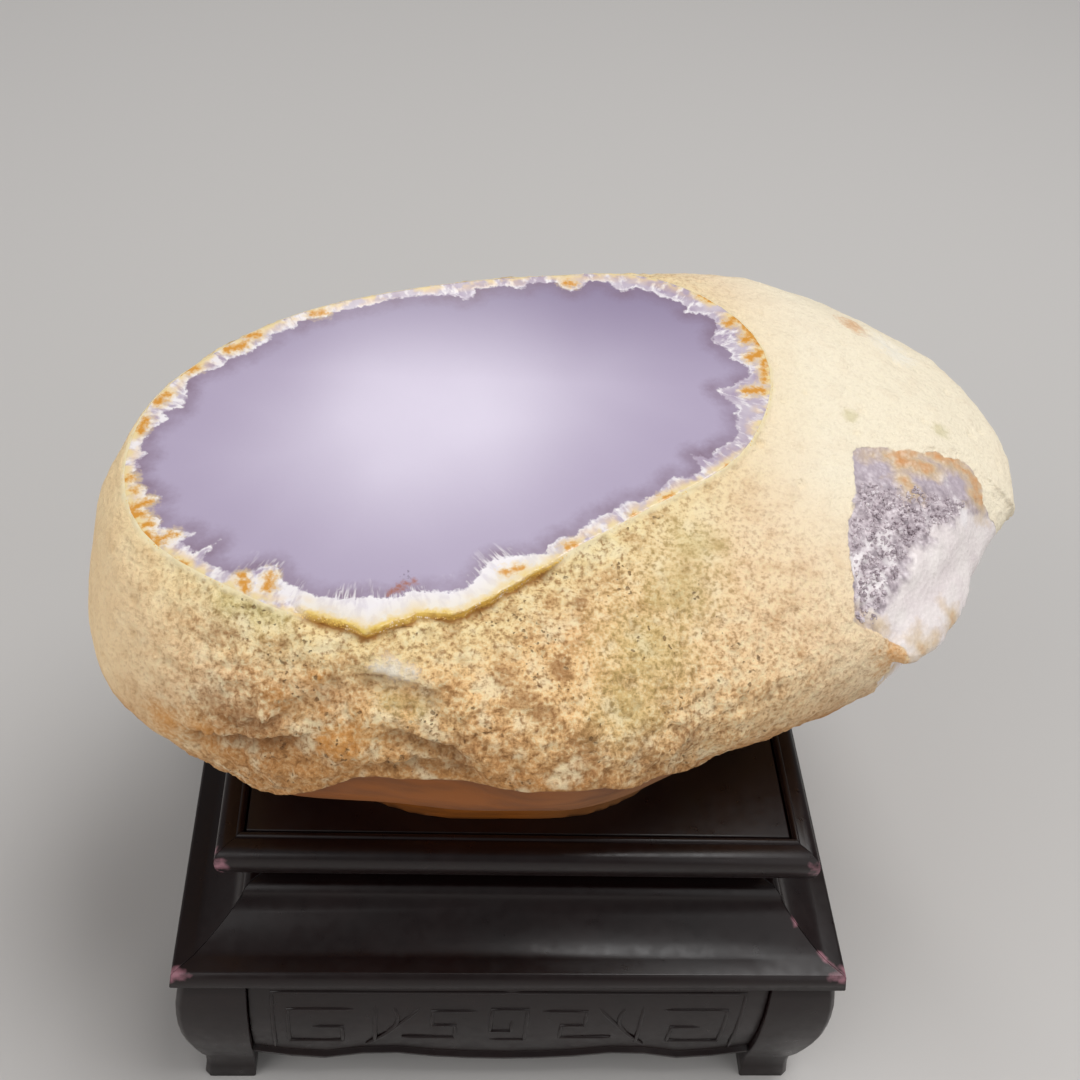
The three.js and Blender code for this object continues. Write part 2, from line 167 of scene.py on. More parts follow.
class StudioSettings(bpy.types.PropertyGroup):
    """The floor and the light."""

    floor_colour: bpy.props.FloatVectorProperty(
        name="Floor", description="Colour of the plain floor", subtype="COLOR", size=4,
        default=linear("#CFCCC9"),
    )
    lens: bpy.props.FloatProperty(
        name="Lens", description="Focal length of the camera", default=50.0, unit="CAMERA"
    )
    brightness: bpy.props.FloatProperty(
        name="Brightness", description="Power of the overhead softbox", default=5.4, unit="POWER"
    )
    fill: bpy.props.FloatProperty(
        name="Fill", description="Power of the softbox at the front left", default=13.0, unit="POWER"
    )
    sheen: bpy.props.FloatProperty(
        name="Sheen", description="Power of the lamp that the window mirrors", default=0.29, unit="POWER"
    )


# Working on meshes

def deselect_all():
    """Leaves object mode with nothing selected."""
    if bpy.context.object and bpy.context.object.mode != "OBJECT":
        bpy.ops.object.mode_set(mode="OBJECT")
    bpy.ops.object.select_all(action="DESELECT")


def choose(piece):
    """Makes a piece the only selected object."""
    deselect_all()
    piece.select_set(True)
    bpy.context.view_layer.objects.active = piece


def copy_of(node, name):
    """A merged copy of a CAD node, as a free piece that stands for it."""
    source = frame["nodes"][node]
    choose(source)
    bpy.ops.object.duplicate()
    piece = bpy.context.object
    piece.name = name
    piece.data.name = name
    piece.parent = None
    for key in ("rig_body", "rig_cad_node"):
        del piece[key]
    choose(piece)
    bpy.ops.object.mode_set(mode="EDIT")
    bpy.ops.mesh.select_all(action="SELECT")
    bpy.ops.mesh.remove_doubles(threshold=0.002 * MM)
    bpy.ops.mesh.normals_make_consistent(inside=False)
    bpy.ops.object.mode_set(mode="OBJECT")
    return piece


def apply_modifier(piece, kind, **settings):
    """Adds a modifier with its settings and applies it."""
    choose(piece)
    modifier = piece.modifiers.new(kind.lower(), kind)
    for key, value in settings.items():
        setattr(modifier, key, value)
    bpy.ops.object.modifier_apply(modifier=modifier.name)


def read(items, key, size=3):
    """One property of all the given parts of a mesh, in rows of `size` numbers."""
    values = np.empty(len(items) * size)
    items.foreach_get(key, values)
    return values.reshape(-1, size)


def points_of(mesh):
    """The mesh's points, in millimetres."""
    return read(mesh.vertices, "co") / MM


def normals_of(mesh):
    """The mesh's point normals."""
    return read(mesh.vertex_normals, "vector")


def place_points(mesh, points):
    """Moves the mesh's points, given in millimetres."""
    mesh.vertices.foreach_set("co", (points * MM).ravel())
    mesh.update()


def refine(piece, chosen):
    """Halves the step of the surface in the faces whose middles `chosen` picks."""
    choose(piece)
    bpy.ops.object.mode_set(mode="EDIT")
    bpy.ops.mesh.select_mode(type="FACE")
    bpy.ops.mesh.select_all(action="DESELECT")
    bpy.ops.object.mode_set(mode="OBJECT")
    faces = piece.data.polygons
    faces.foreach_set("select", chosen(read(faces, "center") / MM, read(faces, "normal")))
    bpy.ops.object.mode_set(mode="EDIT")
    bpy.ops.mesh.subdivide(number_cuts=1)
    bpy.ops.object.mode_set(mode="OBJECT")


def store_field(mesh, name, values):
    """Keeps one number or one vector for each point, for the materials."""
    kind, key = ("FLOAT_VECTOR", "vector") if values.ndim == 2 else ("FLOAT", "value")
    field = mesh.attributes.new(name, kind, "POINT")
    field.data.foreach_set(key, values.ravel())


def read_field(mesh, name):
    """The numbers that store_field kept."""
    return read(mesh.attributes[name].data, "value", 1)[:, 0]


def weigh(piece, name, weights):
    """Makes a vertex group from one weight for each point."""
    group = piece.vertex_groups.new(name=name)
    levels = np.round(weights, 2)
    for level in np.unique(levels[levels > 0]):
        group.add(np.flatnonzero(levels == level).tolist(), float(level), "REPLACE")


# Shapes worked out for each point

def ramp(values, low, high):
    """A smooth step from 0 at `low` to 1 at `high`."""
    share = np.clip((values - low) / (high - low), 0, 1)
    return share * share * (3 - 2 * share)


def outline_depth(points, outline):
    """How far inside a closed flat outline each point lies, and the nearest point of the outline."""
    outline = np.asarray(outline, float)
    nearest = np.zeros_like(points)
    best = np.full(len(points), np.inf)
    inside = np.zeros(len(points), bool)
    for start, end in zip(outline, np.roll(outline, -1, axis=0)):
        along = end - start
        share = np.clip((points - start) @ along / (along @ along), 0, 1)
        foot = start + share[:, None] * along
        distance = np.linalg.norm(points - foot, axis=1)
        closer = distance < best
        best[closer] = distance[closer]
        nearest[closer] = foot[closer]
        crosses = (start[1] > points[:, 1]) != (end[1] > points[:, 1])
        rise = end[1] - start[1] if end[1] != start[1] else 1.0
        where = start[0] + (points[:, 1] - start[1]) / rise * along[0]
        inside ^= crosses & (points[:, 0] < where)
    return np.where(inside, best, -best), nearest


def streak_depth(points, streaks):
    """How far inside any streak each flat point lies. A streak has two ends and a half width at each."""
    deepest = np.full(len(points), -9.0)
    for start, end, first, last in streaks:
        along = np.subtract(end, start)
        share = np.clip((points - start) @ along / max(along @ along, 1e-6), 0, 1)
        away = np.linalg.norm(points - start - share[:, None] * along, axis=1)
        deepest = np.maximum(deepest, first + (last - first) * share - away)
    return deepest


def spot_share(points, spots):
    """How near a spot's middle each point lies: 1 in its middle, 0 at its radius, down to -1."""
    nearest = np.full(len(points), -1.0)
    for x, y, z, radius in spots:
        away = np.linalg.norm(points - STAND_MIDDLE - (x, y, z), axis=1)
        nearest = np.maximum(nearest, 1 - away / radius)
    return nearest


# The stone's places: its window, the chip at its right end, its base and its stains

# All corners of the window further than this from its middle lie on its rim
INNER_RADIUS = 10


class Window:
    """The polished window: its plane, and its rim as points of that plane."""

    def __init__(self):
        # The window is the largest flat place that faces up
        mesh = frame["nodes"]["nodule"].data
        facings = [tuple(np.round(face.normal, 3)) for face in mesh.polygons]
        areas = {}
        for face, facing in zip(mesh.polygons, facings):
            if face.normal.z > 0.9:
                areas[facing] = areas.get(facing, 0) + face.area
        chosen = max(areas, key=areas.get)
        self.facing = np.array(chosen) / np.linalg.norm(chosen)
        corners = {
            tuple(np.round(np.array(mesh.vertices[i].co) / MM, 3))
            for face, facing in zip(mesh.polygons, facings)
            if facing == chosen
            for i in face.vertices
        }
        corners = np.array(sorted(corners))
        self.middle = corners.mean(axis=0)
        corners = corners[np.linalg.norm(corners - self.middle, axis=1) > INNER_RADIUS]
        self.across = np.array([1.0, 0.0, 0.0])
        self.up = np.cross(self.facing, self.across)
        flat = self.flatten(corners)[:, :2]
        self.rim = flat[np.argsort(np.arctan2(flat[:, 1], flat[:, 0]))]

    def flatten(self, points):
        """Points as places across, up and above the window's plane."""
        away = points - self.middle
        return np.stack([away @ self.across, away @ self.up, away @ self.facing], axis=1)


# Where the clear stone of the window ends against its quartz fringe, from the right and round by the
# back: places on the window's plane, from its middle. The notches are the fringe's teeth and lobes
CLEAR_OUTLINE = [
    (44, 1), (43.6, 2.4), (44.2, 3.6), (43.8, 4.6), (44.6, 5.6), (41.3, 9.8), (44.3, 10.6), (45.6, 12),
    (47.3, 13), (47.2, 15.4), (45.7, 16.4), (44.5, 17.2), (45, 18), (43.4, 20), (41.9, 20.6), (42.3, 22.6),
    (43.2, 24.2), (42.6, 26.2), (41, 27.4), (37.9, 27.6), (38.6, 29.2), (36.6, 30.4), (34.4, 31.2),
    (33, 32.4), (31.4, 32.6), (30.2, 33.4), (29.2, 32.7), (27.7, 32), (26.4, 32.8), (25.9, 34.3),
    (22, 34.5), (20.8, 32.7), (19, 31.6), (17.4, 32.6), (16.8, 33.6), (12, 33.3), (11.4, 31.9),
    (9.8, 31.7), (8, 32.2), (5, 31.5), (2.9, 31.2), (2.6, 29.2), (1.2, 28.3), (-0.2, 29.3), (-6, 29),
    (-10, 28), (-14, 26.2), (-17.5, 25), (-20, 24), (-21.5, 22.9), (-24, 22.3), (-25.6, 21.3),
    (-25.7, 20.3), (-28.5, 18.8), (-29.8, 18), (-29.6, 17), (-31.3, 15.5), (-33, 13.6), (-34.5, 13),
    (-36, 12), (-36.2, 11), (-37, 10.3), (-39, 9.6), (-40.5, 8.5), (-41.5, 7), (-41.3, 4),
    (-41.5, 1.5), (-44.5, 0.3), (-43.4, -1), (-45.6, -3.2), (-46.4, -5.4), (-46.8, -7.4),
    (-45.4, -8.2), (-47, -9.6), (-46.2, -11), (-47.4, -11.9), (-46.6, -12.8), (-46.6, -13.9),
    (-44.7, -14.6), (-44.9, -16.1), (-42.4, -16.4), (-44.9, -18.4), (-43.8, -19.6), (-41.8, -20.5),
    (-42.2, -22), (-40, -22.5), (-36.8, -23), (-39.2, -24.6), (-37.4, -25.4), (-36.9, -26.8),
    (-33.4, -24), (-35.6, -27.6), (-33.4, -28.9), (-30.6, -30.2), (-28.4, -29.4), (-27, -28.6),
    (-25.3, -28.3), (-24.3, -29.8), (-24, -31), (-22, -32), (-20.5, -33), (-18, -33.6), (-14, -33.6),
    (-12, -33.2), (-10, -33.6), (-8, -33.2), (-6.5, -32.3), (-4, -32), (-1, -32.2), (1.5, -31.5),
    (2.5, -30), (3.5, -28.5), (4.3, -27), (5.5, -26), (8, -25.3), (11, -25.1), (13, -24.8),
    (13.4, -23.2), (15.5, -21.6), (17.2, -21.6), (18.4, -19.9), (20, -18.2), (21.6, -17.2),
    (23, -16.6), (24.3, -15.2), (25.6, -14.3), (27.2, -14.3), (28.6, -13.6), (30.4, -12.6),
    (31.6, -10.4), (33, -9), (35, -9.4), (37.4, -7.6), (36.2, -4.5), (39.2, -5.4), (39.6, -3.6),
    (41.2, -2.4), (43.3, -0.8),
]

# The front lip's lower edge, on the same plane, closed round the window's inside
LIP_OUTLINE = [
    (-24, -33.6), (-22, -34.7), (-20, -36.5), (-17, -37.3), (-14, -38.3), (-12.2, -39.4), (-10.5, -38.6),
    (-8.5, -37.4), (-6.3, -36.7), (-5.4, -35.9), (-3, -35.8), (-0.5, -36), (1.5, -35.2), (3, -34), (5, -33),
    (6.5, -31.6), (9, -30), (11, -28.3), (13.5, -26.8), (18, -23), (18, 0), (-24, 0),
]

# Iron-stained cores of the fringe's teeth, its red-brown marks and the dark needle at the front
IRON_STREAKS = [
    ((-48.2, -13.3), (-46.9, -12.9), 0.4, 0.3), ((-46.3, -15.2), (-45.9, -15.3), 0.45, 0.3),
    ((-46, -18.5), (-43.8, -17.1), 0.5, 0.25), ((-45.6, -19.8), (-44.6, -19.6), 0.8, 0.4),
    ((-44.2, -21.6), (-43.4, -21.3), 0.4, 0.3), ((-42.6, -24.8), (-39.8, -23.2), 0.55, 0.3),
    ((-43.6, -23.4), (-43, -24), 0.6, 0.5), ((-39.4, -28.2), (-37.6, -28.6), 0.5, 0.2),
    ((-29, -32.5), (-29.7, -30.4), 0.45, 0.35), ((-26, -32.2), (-25.7, -29.9), 0.5, 0.4),
    ((-47.2, -3.4), (-46.6, -1.2), 0.5, 0.4), ((-45.2, 2.6), (-44, 4.2), 0.5, 0.3),
    ((-42.6, 9), (-40.4, 10.2), 0.5, 0.4), ((-36, 14.4), (-33.6, 15.6), 0.6, 0.4),
    ((-32.8, 17.6), (-31.6, 18.2), 0.5, 0.4), ((-23.4, 23.4), (-21.6, 23.8), 0.4, 0.3),
    ((46.2, 9.6), (48.6, 10), 0.5, 0.6), ((47.6, 17.2), (49.6, 18.6), 0.5, 0.6),
    ((47.4, 21.6), (48.8, 22.4), 0.6, 0.5), ((45, 25.4), (46, 26.6), 0.5, 0.5),
    ((42.6, 30.8), (41.2, 32), 0.4, 0.3), ((41.4, -6.8), (42.4, -6.2), 0.4, 0.3),
    ((26.4, -17.2), (28, -16.9), 0.4, 0.4), ((31.2, -13.5), (32.3, -13.1), 0.5, 0.4),
    ((16.2, -23.4), (17.2, -23), 0.5, 0.4), ((7, -28.4), (9.4, -27.6), 0.3, 0.3),
    ((18.4, 33.6), (19.6, 33.4), 0.5, 0.3), ((46.6, 27.2), (49.6, 20.6), 0.25, 0.4),
    ((49.9, 17), (49.5, 12), 0.4, 0.2),
]
RUST_STREAKS = [
    ((-9.2, -32.6), (-7.6, -31.4), 0.3, 0.6), ((-7.2, -31), (-5.6, -30.4), 0.25, 0.1),
]
NEEDLE_STREAKS = [((-7.1, -27.1), (-7, -29.8), 0.02, 0.22)]

# The chip at the right end: its middle and facing, measured from the middle of the stand's plan,
# its outline on a plane that faces up, right and forwards, and how far off that plane it reaches
CHIP_MIDDLE = np.array([62, -15, 100])
CHIP_FACING = np.array([0.35, -0.35, 0.87])
CHIP_OUTLINE = [
    (-11.5, 13.6), (-13, 5), (-15.8, -4.3), (-15.2, -17), (-5.6, -19.5), (3, -23.5), (10, -23),
    (17, -20), (25, -12), (28, 0), (25, 10), (18.5, 11.6), (14, 13.8), (9.7, 17.2), (-2, 15.2),
]
CHIP_REACH = 17

# The bare part of the chip: right of the rusty seam at its top a thin skin of rind is left
CHIP_FACE = [
    (-11.5, 13.6), (-13, 5), (-15.8, -4.3), (-15.2, -17), (-5.6, -19.5), (3, -24.5), (10, -24),
    (18, -21), (24.5, -16), (27, -11), (26, -7), (28.5, -3.5), (26, -0.5), (27, 2.5), (22, 3.6),
    (19.5, 6), (15.5, 6.8), (12.9, 8.6), (13.3, 12), (10.6, 15.4), (4, 15.4), (-2, 14.6),
]

# The chip's smooth white part, its iron stains and its white specks, on the same plane
WHITE_OUTLINE = [
    (-11, -17), (-9.4, -13), (-7.2, -9), (-6, -6), (-3.6, -3.6), (-0.6, -0.4), (3.4, 1.6), (6, 4), (9, 6.4),
    (12, 6.6), (16, 8), (36, 6), (34, 0), (28, -18), (10, -30), (-6, -26),
]
CHIP_STAINS = [
    ((-8, 13.2), (-5, 13), 1.0, 0.8), ((-3, 14.4), (10, 15.2), 1.2, 1.0), ((-3, 12), (2, 12.2), 1.5, 1.0),
    ((8, 14.4), (11.6, 12), 1.2, 1.1), ((11.8, 12), (12.3, 8.8), 1.0, 1.0),
    ((10.6, 8.2), (12.2, 8), 1.2, 1.0), ((-3.6, 6), (-4, 9), 0.5, 0.3),
    ((-13, -17.5), (-11, -17.6), 0.7, 0.5), ((-3, -18.8), (0, -18), 0.8, 0.6),
    ((4, -13), (4.6, -12.4), 0.4, 0.3), ((-9, -22.5), (-6, -21.5), 1.6, 1.2),
    ((0, -22.6), (3, -23.6), 1.0, 0.8),
]
CHIP_SPECKS = [
    ((-13, -4.4), (-10.4, -4), 0.8, 0.7), ((-15, -8), (-13, -13), 0.9, 0.7),
    ((-9.6, -3), (-8.6, -1.4), 0.6, 0.4), ((-12.4, -16), (-10.6, -14.4), 0.8, 0.5),
    ((-8.4, -6.6), (-7, -9), 0.7, 0.5), ((4.4, 10.4), (5.4, 7), 0.5, 0.3),
    ((1.4, 14.6), (3.6, 13.8), 0.5, 0.3), ((-10.6, -9.4), (-9.4, -11.4), 0.6, 0.5),
    ((-14.4, -7), (-12, -6.6), 0.5, 0.4), ((-11, -11), (-12.4, -13), 0.5, 0.4),
    ((-2.6, 3.6), (-1.6, 1.2), 0.4, 0.3), ((6.6, 3.6), (7.8, 5.2), 0.5, 0.5),
]

# The lower edge of the rind over the smooth base: x and height along the front, then the height elsewhere
BAND_EDGE = [
    (-48, 64), (-38, 74), (-31, 80.5), (-26, 84), (-16, 85.6), (-6, 87.2), (2, 88.4), (9, 88), (17, 83.5),
    (24, 79), (32, 72), (42, 64),
]
BAND_HEIGHT = 3

# Where the rind is half browned, as x and height
BROWN_LINE = [(-64, 83), (-46, 85), (-32, 90), (-15, 93), (0, 94), (14, 90), (30, 85), (60, 81)]

# Ledges low on the left of the front, from one end to the other as (x, z), and their depth
LEDGES = [
    ((-50, 84), (-33, 90.5), 1.5),
    ((-22, 94), (-10, 92), 1.1),
    ((-26, 100.5), (-14, 99), 0.7),
    ((-38, 94), (-27, 100), 0.6),
    ((-24, 88), (-8, 90.5), 0.9),
    ((-44, 90), (-36, 93), 0.7),
]

# Stains of the rind: x, y and z from the middle of the stand's plan, and a radius
IRON_SPOTS = [
    (55.6, -33.7, 90.7, 4.6), (-27, -52.8, 92, 4.6), (-30.5, -52.4, 91, 3.4), (-47, -46.5, 85, 4),
    (-52, -42.5, 84, 4.4), (-36.5, -50.5, 95, 3), (57.5, 30, 108, 4), (-31, -49, 99, 2.2),
]
OLIVE_SPOTS = [
    (-40, -40.8, 105, 3.6), (-37, -40.6, 105.4, 3.2), (-43.5, -38.4, 104.3, 3), (-21, -50.6, 97.4, 3),
    (-17, -51, 97, 2.6), (15, -42, 101, 9), (12, -50, 97, 7), (20, -33, 103.6, 8), (23, -26, 105.6, 6),
    (51.5, 3.5, 108.4, 1.6), (68, 5, 105, 2.2),
]
CHALK_SPOTS = [
    (-20.8, -48, 100.8, 2.3), (-18.8, -48.2, 100.6, 1.9), (-22.8, -47.6, 100.9, 1.7), (62.8, 27.6, 106.4, 5),
    (64.5, 25, 105.8, 4),
]
BROWN_SPOTS = [
    (-3.5, -50.6, 99.2, 3.4), (-5.6, -48.4, 100.6, 3), (-0.6, -52.4, 97.6, 3), (-45.6, -41.4, 101, 2.8),
    (-43, -42.4, 101.6, 2.4), (-46, -46.5, 93, 4.4), (-41, -48.4, 92, 4), (2, -46.5, 101, 2.4),
    (6, -55, 92.6, 5), (14, -53.6, 92, 4.4), (22, -49.6, 90, 4.6), (-12, -55.4, 92, 3.6),
    (5.2, -36, 103.8, 1.4),
]


def window_fields(points, window):
    """Depth inside the window's rim and the nearest rim point, for each point."""
    flat = window.flatten(points)
    depth, nearest = outline_depth(flat[:, :2], window.rim)
    on_window = (depth > 0) & (np.abs(flat[:, 2]) < 0.8)
    outside = -np.hypot(np.minimum(depth, 0), flat[:, 2])
    return np.where(on_window, depth, outside), nearest


def chip_fields(points, outline):
    """Depth inside an outline of the chip, and the place on the chip's plane, for each point."""
    facing = CHIP_FACING / np.linalg.norm(CHIP_FACING)
    across = np.array([1.0, 0, 0]) - facing[0] * facing
    across /= np.linalg.norm(across)
    up = np.cross(facing, across)
    away = points - STAND_MIDDLE - CHIP_MIDDLE
    flat = np.stack([away @ across, away @ up], axis=1)
    depth, _ = outline_depth(flat, outline)
    # Off its plane, round the stone's end, the chip stops in an irregular edge
    wavy = 2.6 * np.sin(0.24 * flat[:, 0]) + 1.4 * np.sin(0.61 * flat[:, 0] + 1)
    near = CHIP_REACH + wavy - np.abs(away @ facing)
    return np.minimum(depth, near), flat


def band_field(points):
    """Depth below the rind's lower edge, for each point."""
    x, y, z = (points - STAND_MIDDLE).T
    front = 1 - ramp(y, -40, -24)
    elsewhere = PANEL_TOP + BAND_HEIGHT
    return elsewhere + front * (np.interp(x, *np.transpose(BAND_EDGE)) - elsewhere) - z


def ledge_depth(points):
    """How far the rind steps in under the ledges of the front, for each point."""
    x, y, z = (points - STAND_MIDDLE).T
    total = np.zeros(len(points))
    for (x0, z0), (x1, z1), depth in LEDGES:
        along = (x - x0) / (x1 - x0)
        below = z0 + along * (z1 - z0) - z
        ends = ramp(along, -0.1, 0.15) * (1 - ramp(along, 0.85, 1.1))
        total += depth * ends * ramp(below, -0.3, 0.5) * (1 - ramp(below, 0.8, 4))
    return total * (1 - ramp(y, -44, -30))


def front_share(points, window):
    """How far each point belongs to the front of the window, where the white lip is thick."""
    flat = window.flatten(points)
    return ramp(flat[:, 0], -24, -19) * (1 - ramp(flat[:, 0], 12, 17)) * (1 - ramp(flat[:, 1], -26, -20))


def lip_depth(points, window):
    """How far each point lies inside the front lip's lower edge."""
    flat = window.flatten(points)
    inside, _ = outline_depth(flat[:, :2], LIP_OUTLINE)
    return inside - 0.7 * np.maximum(np.abs(flat[:, 2]) - 0.6, 0)


def glassy_share(flat):
    """Where the fringe is more glassy than white: at the window's right and back."""
    across, up = flat.T
    return np.maximum(ramp(across, 8, 26), ramp(up + 0.25 * across, 14, 24))


def brush_share(flat):
    """Where fine needles brush from the fringe into the clear stone: along the window's front."""
    across, up = flat.T
    return ramp(across, -33, -26) * (1 - ramp(across, 6, 13)) * (1 - ramp(up, -24, -18))


# Materials

def add(tree, kind, *inputs, out=0, stops=(), **settings):
    """Adds one node with its settings and links, and gives one of its outputs.

    Inputs go to the node's sockets in turn, and a capitalised setting to the socket of that name. The
    stops are a colour ramp's places and tones.
    """
    node = tree.nodes.new("ShaderNode" + kind)
    sockets = dict(enumerate(inputs))
    for key, value in settings.items():
        if key[0].isupper():
            sockets[key.replace("_", " ")] = value
        else:
            setattr(node, key, value)
    for key, value in sockets.items():
        if isinstance(value, bpy.types.NodeSocket):
            tree.links.new(value, node.inputs[key])
        elif value is not None:
            node.inputs[key].default_value = linear(value) if isinstance(value, str) else value
    for i, (place, tone) in enumerate(stops):
        element = node.color_ramp.elements[i] if i < 2 else node.color_ramp.elements.new(place)
        element.position = place
        element.color = linear(tone)
    return node.outputs[out] if len(node.outputs) else None


def paint(tree, colour, *layers, by=()):
    """Lays tones over a colour.

    A layer is a share and a tone, or a field, the two values between which the tone comes in, its
    greatest share and the tone. The shares are weakened by all that `by` lists.
    """
    for *span, tone in layers:
        share = span[0]
        if len(span) > 1:
            field, low, high, most = span
            share = add(tree, "MapRange", field, low, high, 0.0, most)
        for factor in by:
            share = add(tree, "Math", share, factor, operation="MULTIPLY")
        # A colour mix takes its two colours at the sockets 6 and 7
        colour = add(tree, "Mix", share, *[None] * 5, colour, tone, out=2, data_type="RGBA")
    return colour


def new_material(name):
    """An empty node material, its tree and the places that its patterns read."""
    material = bpy.data.materials.new(name)
    material.use_nodes = True
    material.node_tree.nodes.clear()
    return material, material.node_tree, add(material.node_tree, "TexCoord", out="Object")


# The fields of the stone's points that its material reads
FIELDS = (
    "rim_depth", "rim_place", "clear_depth", "lip", "brush", "glassy", "browned", "band_depth",
    "iron_streak", "rust_streak", "needle_streak", "chip_depth", "chip_place", "white_depth",
    "chip_stain", "chip_speck", "iron", "olive", "chalk", "brown", "pit", "crease",
)


def rind_finish(tree, place, fields):
    """Weathered cortex: a dull, chalky, finely porous skin of cream to tan, stained by iron."""
    stone = bpy.context.scene.nodule_settings
    rightwards, backwards = (add(tree, "SeparateXYZ", place, out=axis) for axis in "XY")
    patches, mottle, crowd = (
        add(tree, "TexNoise", Vector=place, Scale=per(size), Detail=detail)
        for size, detail in ((18, 3.0), (3.6, 3.0), (7, 2.0))
    )
    grain = add(tree, "TexNoise", Vector=place, Scale=per(0.75), Detail=3.0, Roughness=0.6)

    # The rind is palest and smoothest on the right, brown low down and yellowish beside the window
    pale = add(tree, "MapRange", rightwards, -5 * MM, 38 * MM)
    pale_back = add(tree, "MapRange", backwards, -45 * MM, -8 * MM, 0.2)
    pale = add(tree, "Math", pale, pale_back, operation="MULTIPLY")
    peach = add(tree, "MapRange", rightwards, -40 * MM, -64 * MM, 0.0, 0.8)
    rough = add(tree, "MapRange", pale, 0.1, 0.8, 1.0, 0.1)
    left_end = add(tree, "MapRange", rightwards, -70 * MM, -50 * MM, 0.2)
    rough = add(tree, "Math", rough, left_end, operation="MULTIPLY")
    drift = add(tree, "MapRange", patches, 0.3, 0.7, -4.0, 4.0)
    browned = add(tree, "Math", fields["browned"], drift)
    browned = add(tree, "MapRange", browned, -5.0, 5.0, 0.0, 0.85)
    unbrowned = add(tree, "MapRange", browned, 0.0, 0.85, 1.0, 0.4)
    colour = paint(tree, stone.rind_colour, (pale, stone.pale_rind_colour), (peach, "#FFE3B6"))
    tones = (
        ([rough], patches, 0.5, 0.7, 0.5, "#DFA67E"),
        ([rough], fields["rim_depth"], -11.0, -1.0, 0.75, "#F7E7AE"),
        ([], browned, "#C08446"),
        ([rough], mottle, 0.51, 0.66, 0.55, "#C8935A"),
        ([rough], mottle, 0.47, 0.34, 0.55, "#FDEFC8"),
        ([rough], grain, 0.5, 0.66, 0.75, "#96642E"),
        ([rough, unbrowned], grain, 0.48, 0.37, 0.6, "#FFEEBE"),
    )
    for by, *layer in tones:
        colour = paint(tree, colour, layer, by=by)
    stains = (
        ("olive", 0.35, "#BDB56C"), ("iron", 0.6, "#DB9440"), ("chalk", 0.8, "#FFF8E8"),
        ("brown", 0.5, "#96663A"),
    )
    broken = add(tree, "Math", mottle, grain)
    for name, most, tone in stains:
        near = add(tree, "Math", fields[name], 0.6, broken, operation="MULTIPLY_ADD")
        colour = paint(tree, colour, (near, 0.95, 1.45, most, tone))

    # Pores in two sizes, in crowds, darkened with painted shade. The finest are drawn about 0.2 mm wide, so
    # that they show
    wobble = add(tree, "TexNoise", Vector=place, Scale=per(0.7), Detail=1.0, out="Color")
    wobble = add(tree, "VectorMath", wobble, Scale=0.8 * MM, operation="SCALE")
    wobbled = add(tree, "VectorMath", place, wobble)
    crowded = add(tree, "MapRange", crowd, 0.4, 0.6, 0.35, 1.05)
    crowded = add(tree, "Math", crowded, rough, operation="MULTIPLY")
    pores = add(tree, "Math", fields["pit"], rough, operation="MULTIPLY")
    pores = add(tree, "Math", pores, 0.4, operation="MULTIPLY")
    for size, widest in ((1.5, 0.27), (0.8, 0.3)):
        chance, distance = (
            add(tree, "TexVoronoi", Vector=wobbled, Scale=per(size), out=out)
            for out in ("Color", "Distance")
        )
        chance = add(tree, "SeparateColor", chance, out="Red")
        chance = add(tree, "Math", chance, crowded, operation="MULTIPLY")
        width = add(tree, "MapRange", chance, 0.3, 1.0, -0.1, widest)
        inside = add(tree, "Math", width, distance, operation="SUBTRACT")
        hole = add(tree, "MapRange", inside, -0.05, 0.07)
        pores = add(tree, "Math", pores, hole, operation="MAXIMUM")
    # Painted shade in the pits and pores
    dark = add(tree, "Math", pores, 0.7, operation="MULTIPLY")
    # Painted shade under the ledges
    colour = paint(tree, colour, (dark, "#7A5428"), (fields["crease"], "#7A5028"))

    # The relief is centred on none, so that it meets the smooth finishes without a step
    relief = add(tree, "Math", grain, 1.6, -1.9, operation="MULTIPLY_ADD")
    relief = add(tree, "Math", mottle, 3.0, relief, operation="MULTIPLY_ADD")
    relief = add(tree, "Math", relief, pores, operation="SUBTRACT")
    return colour, 0.9, relief


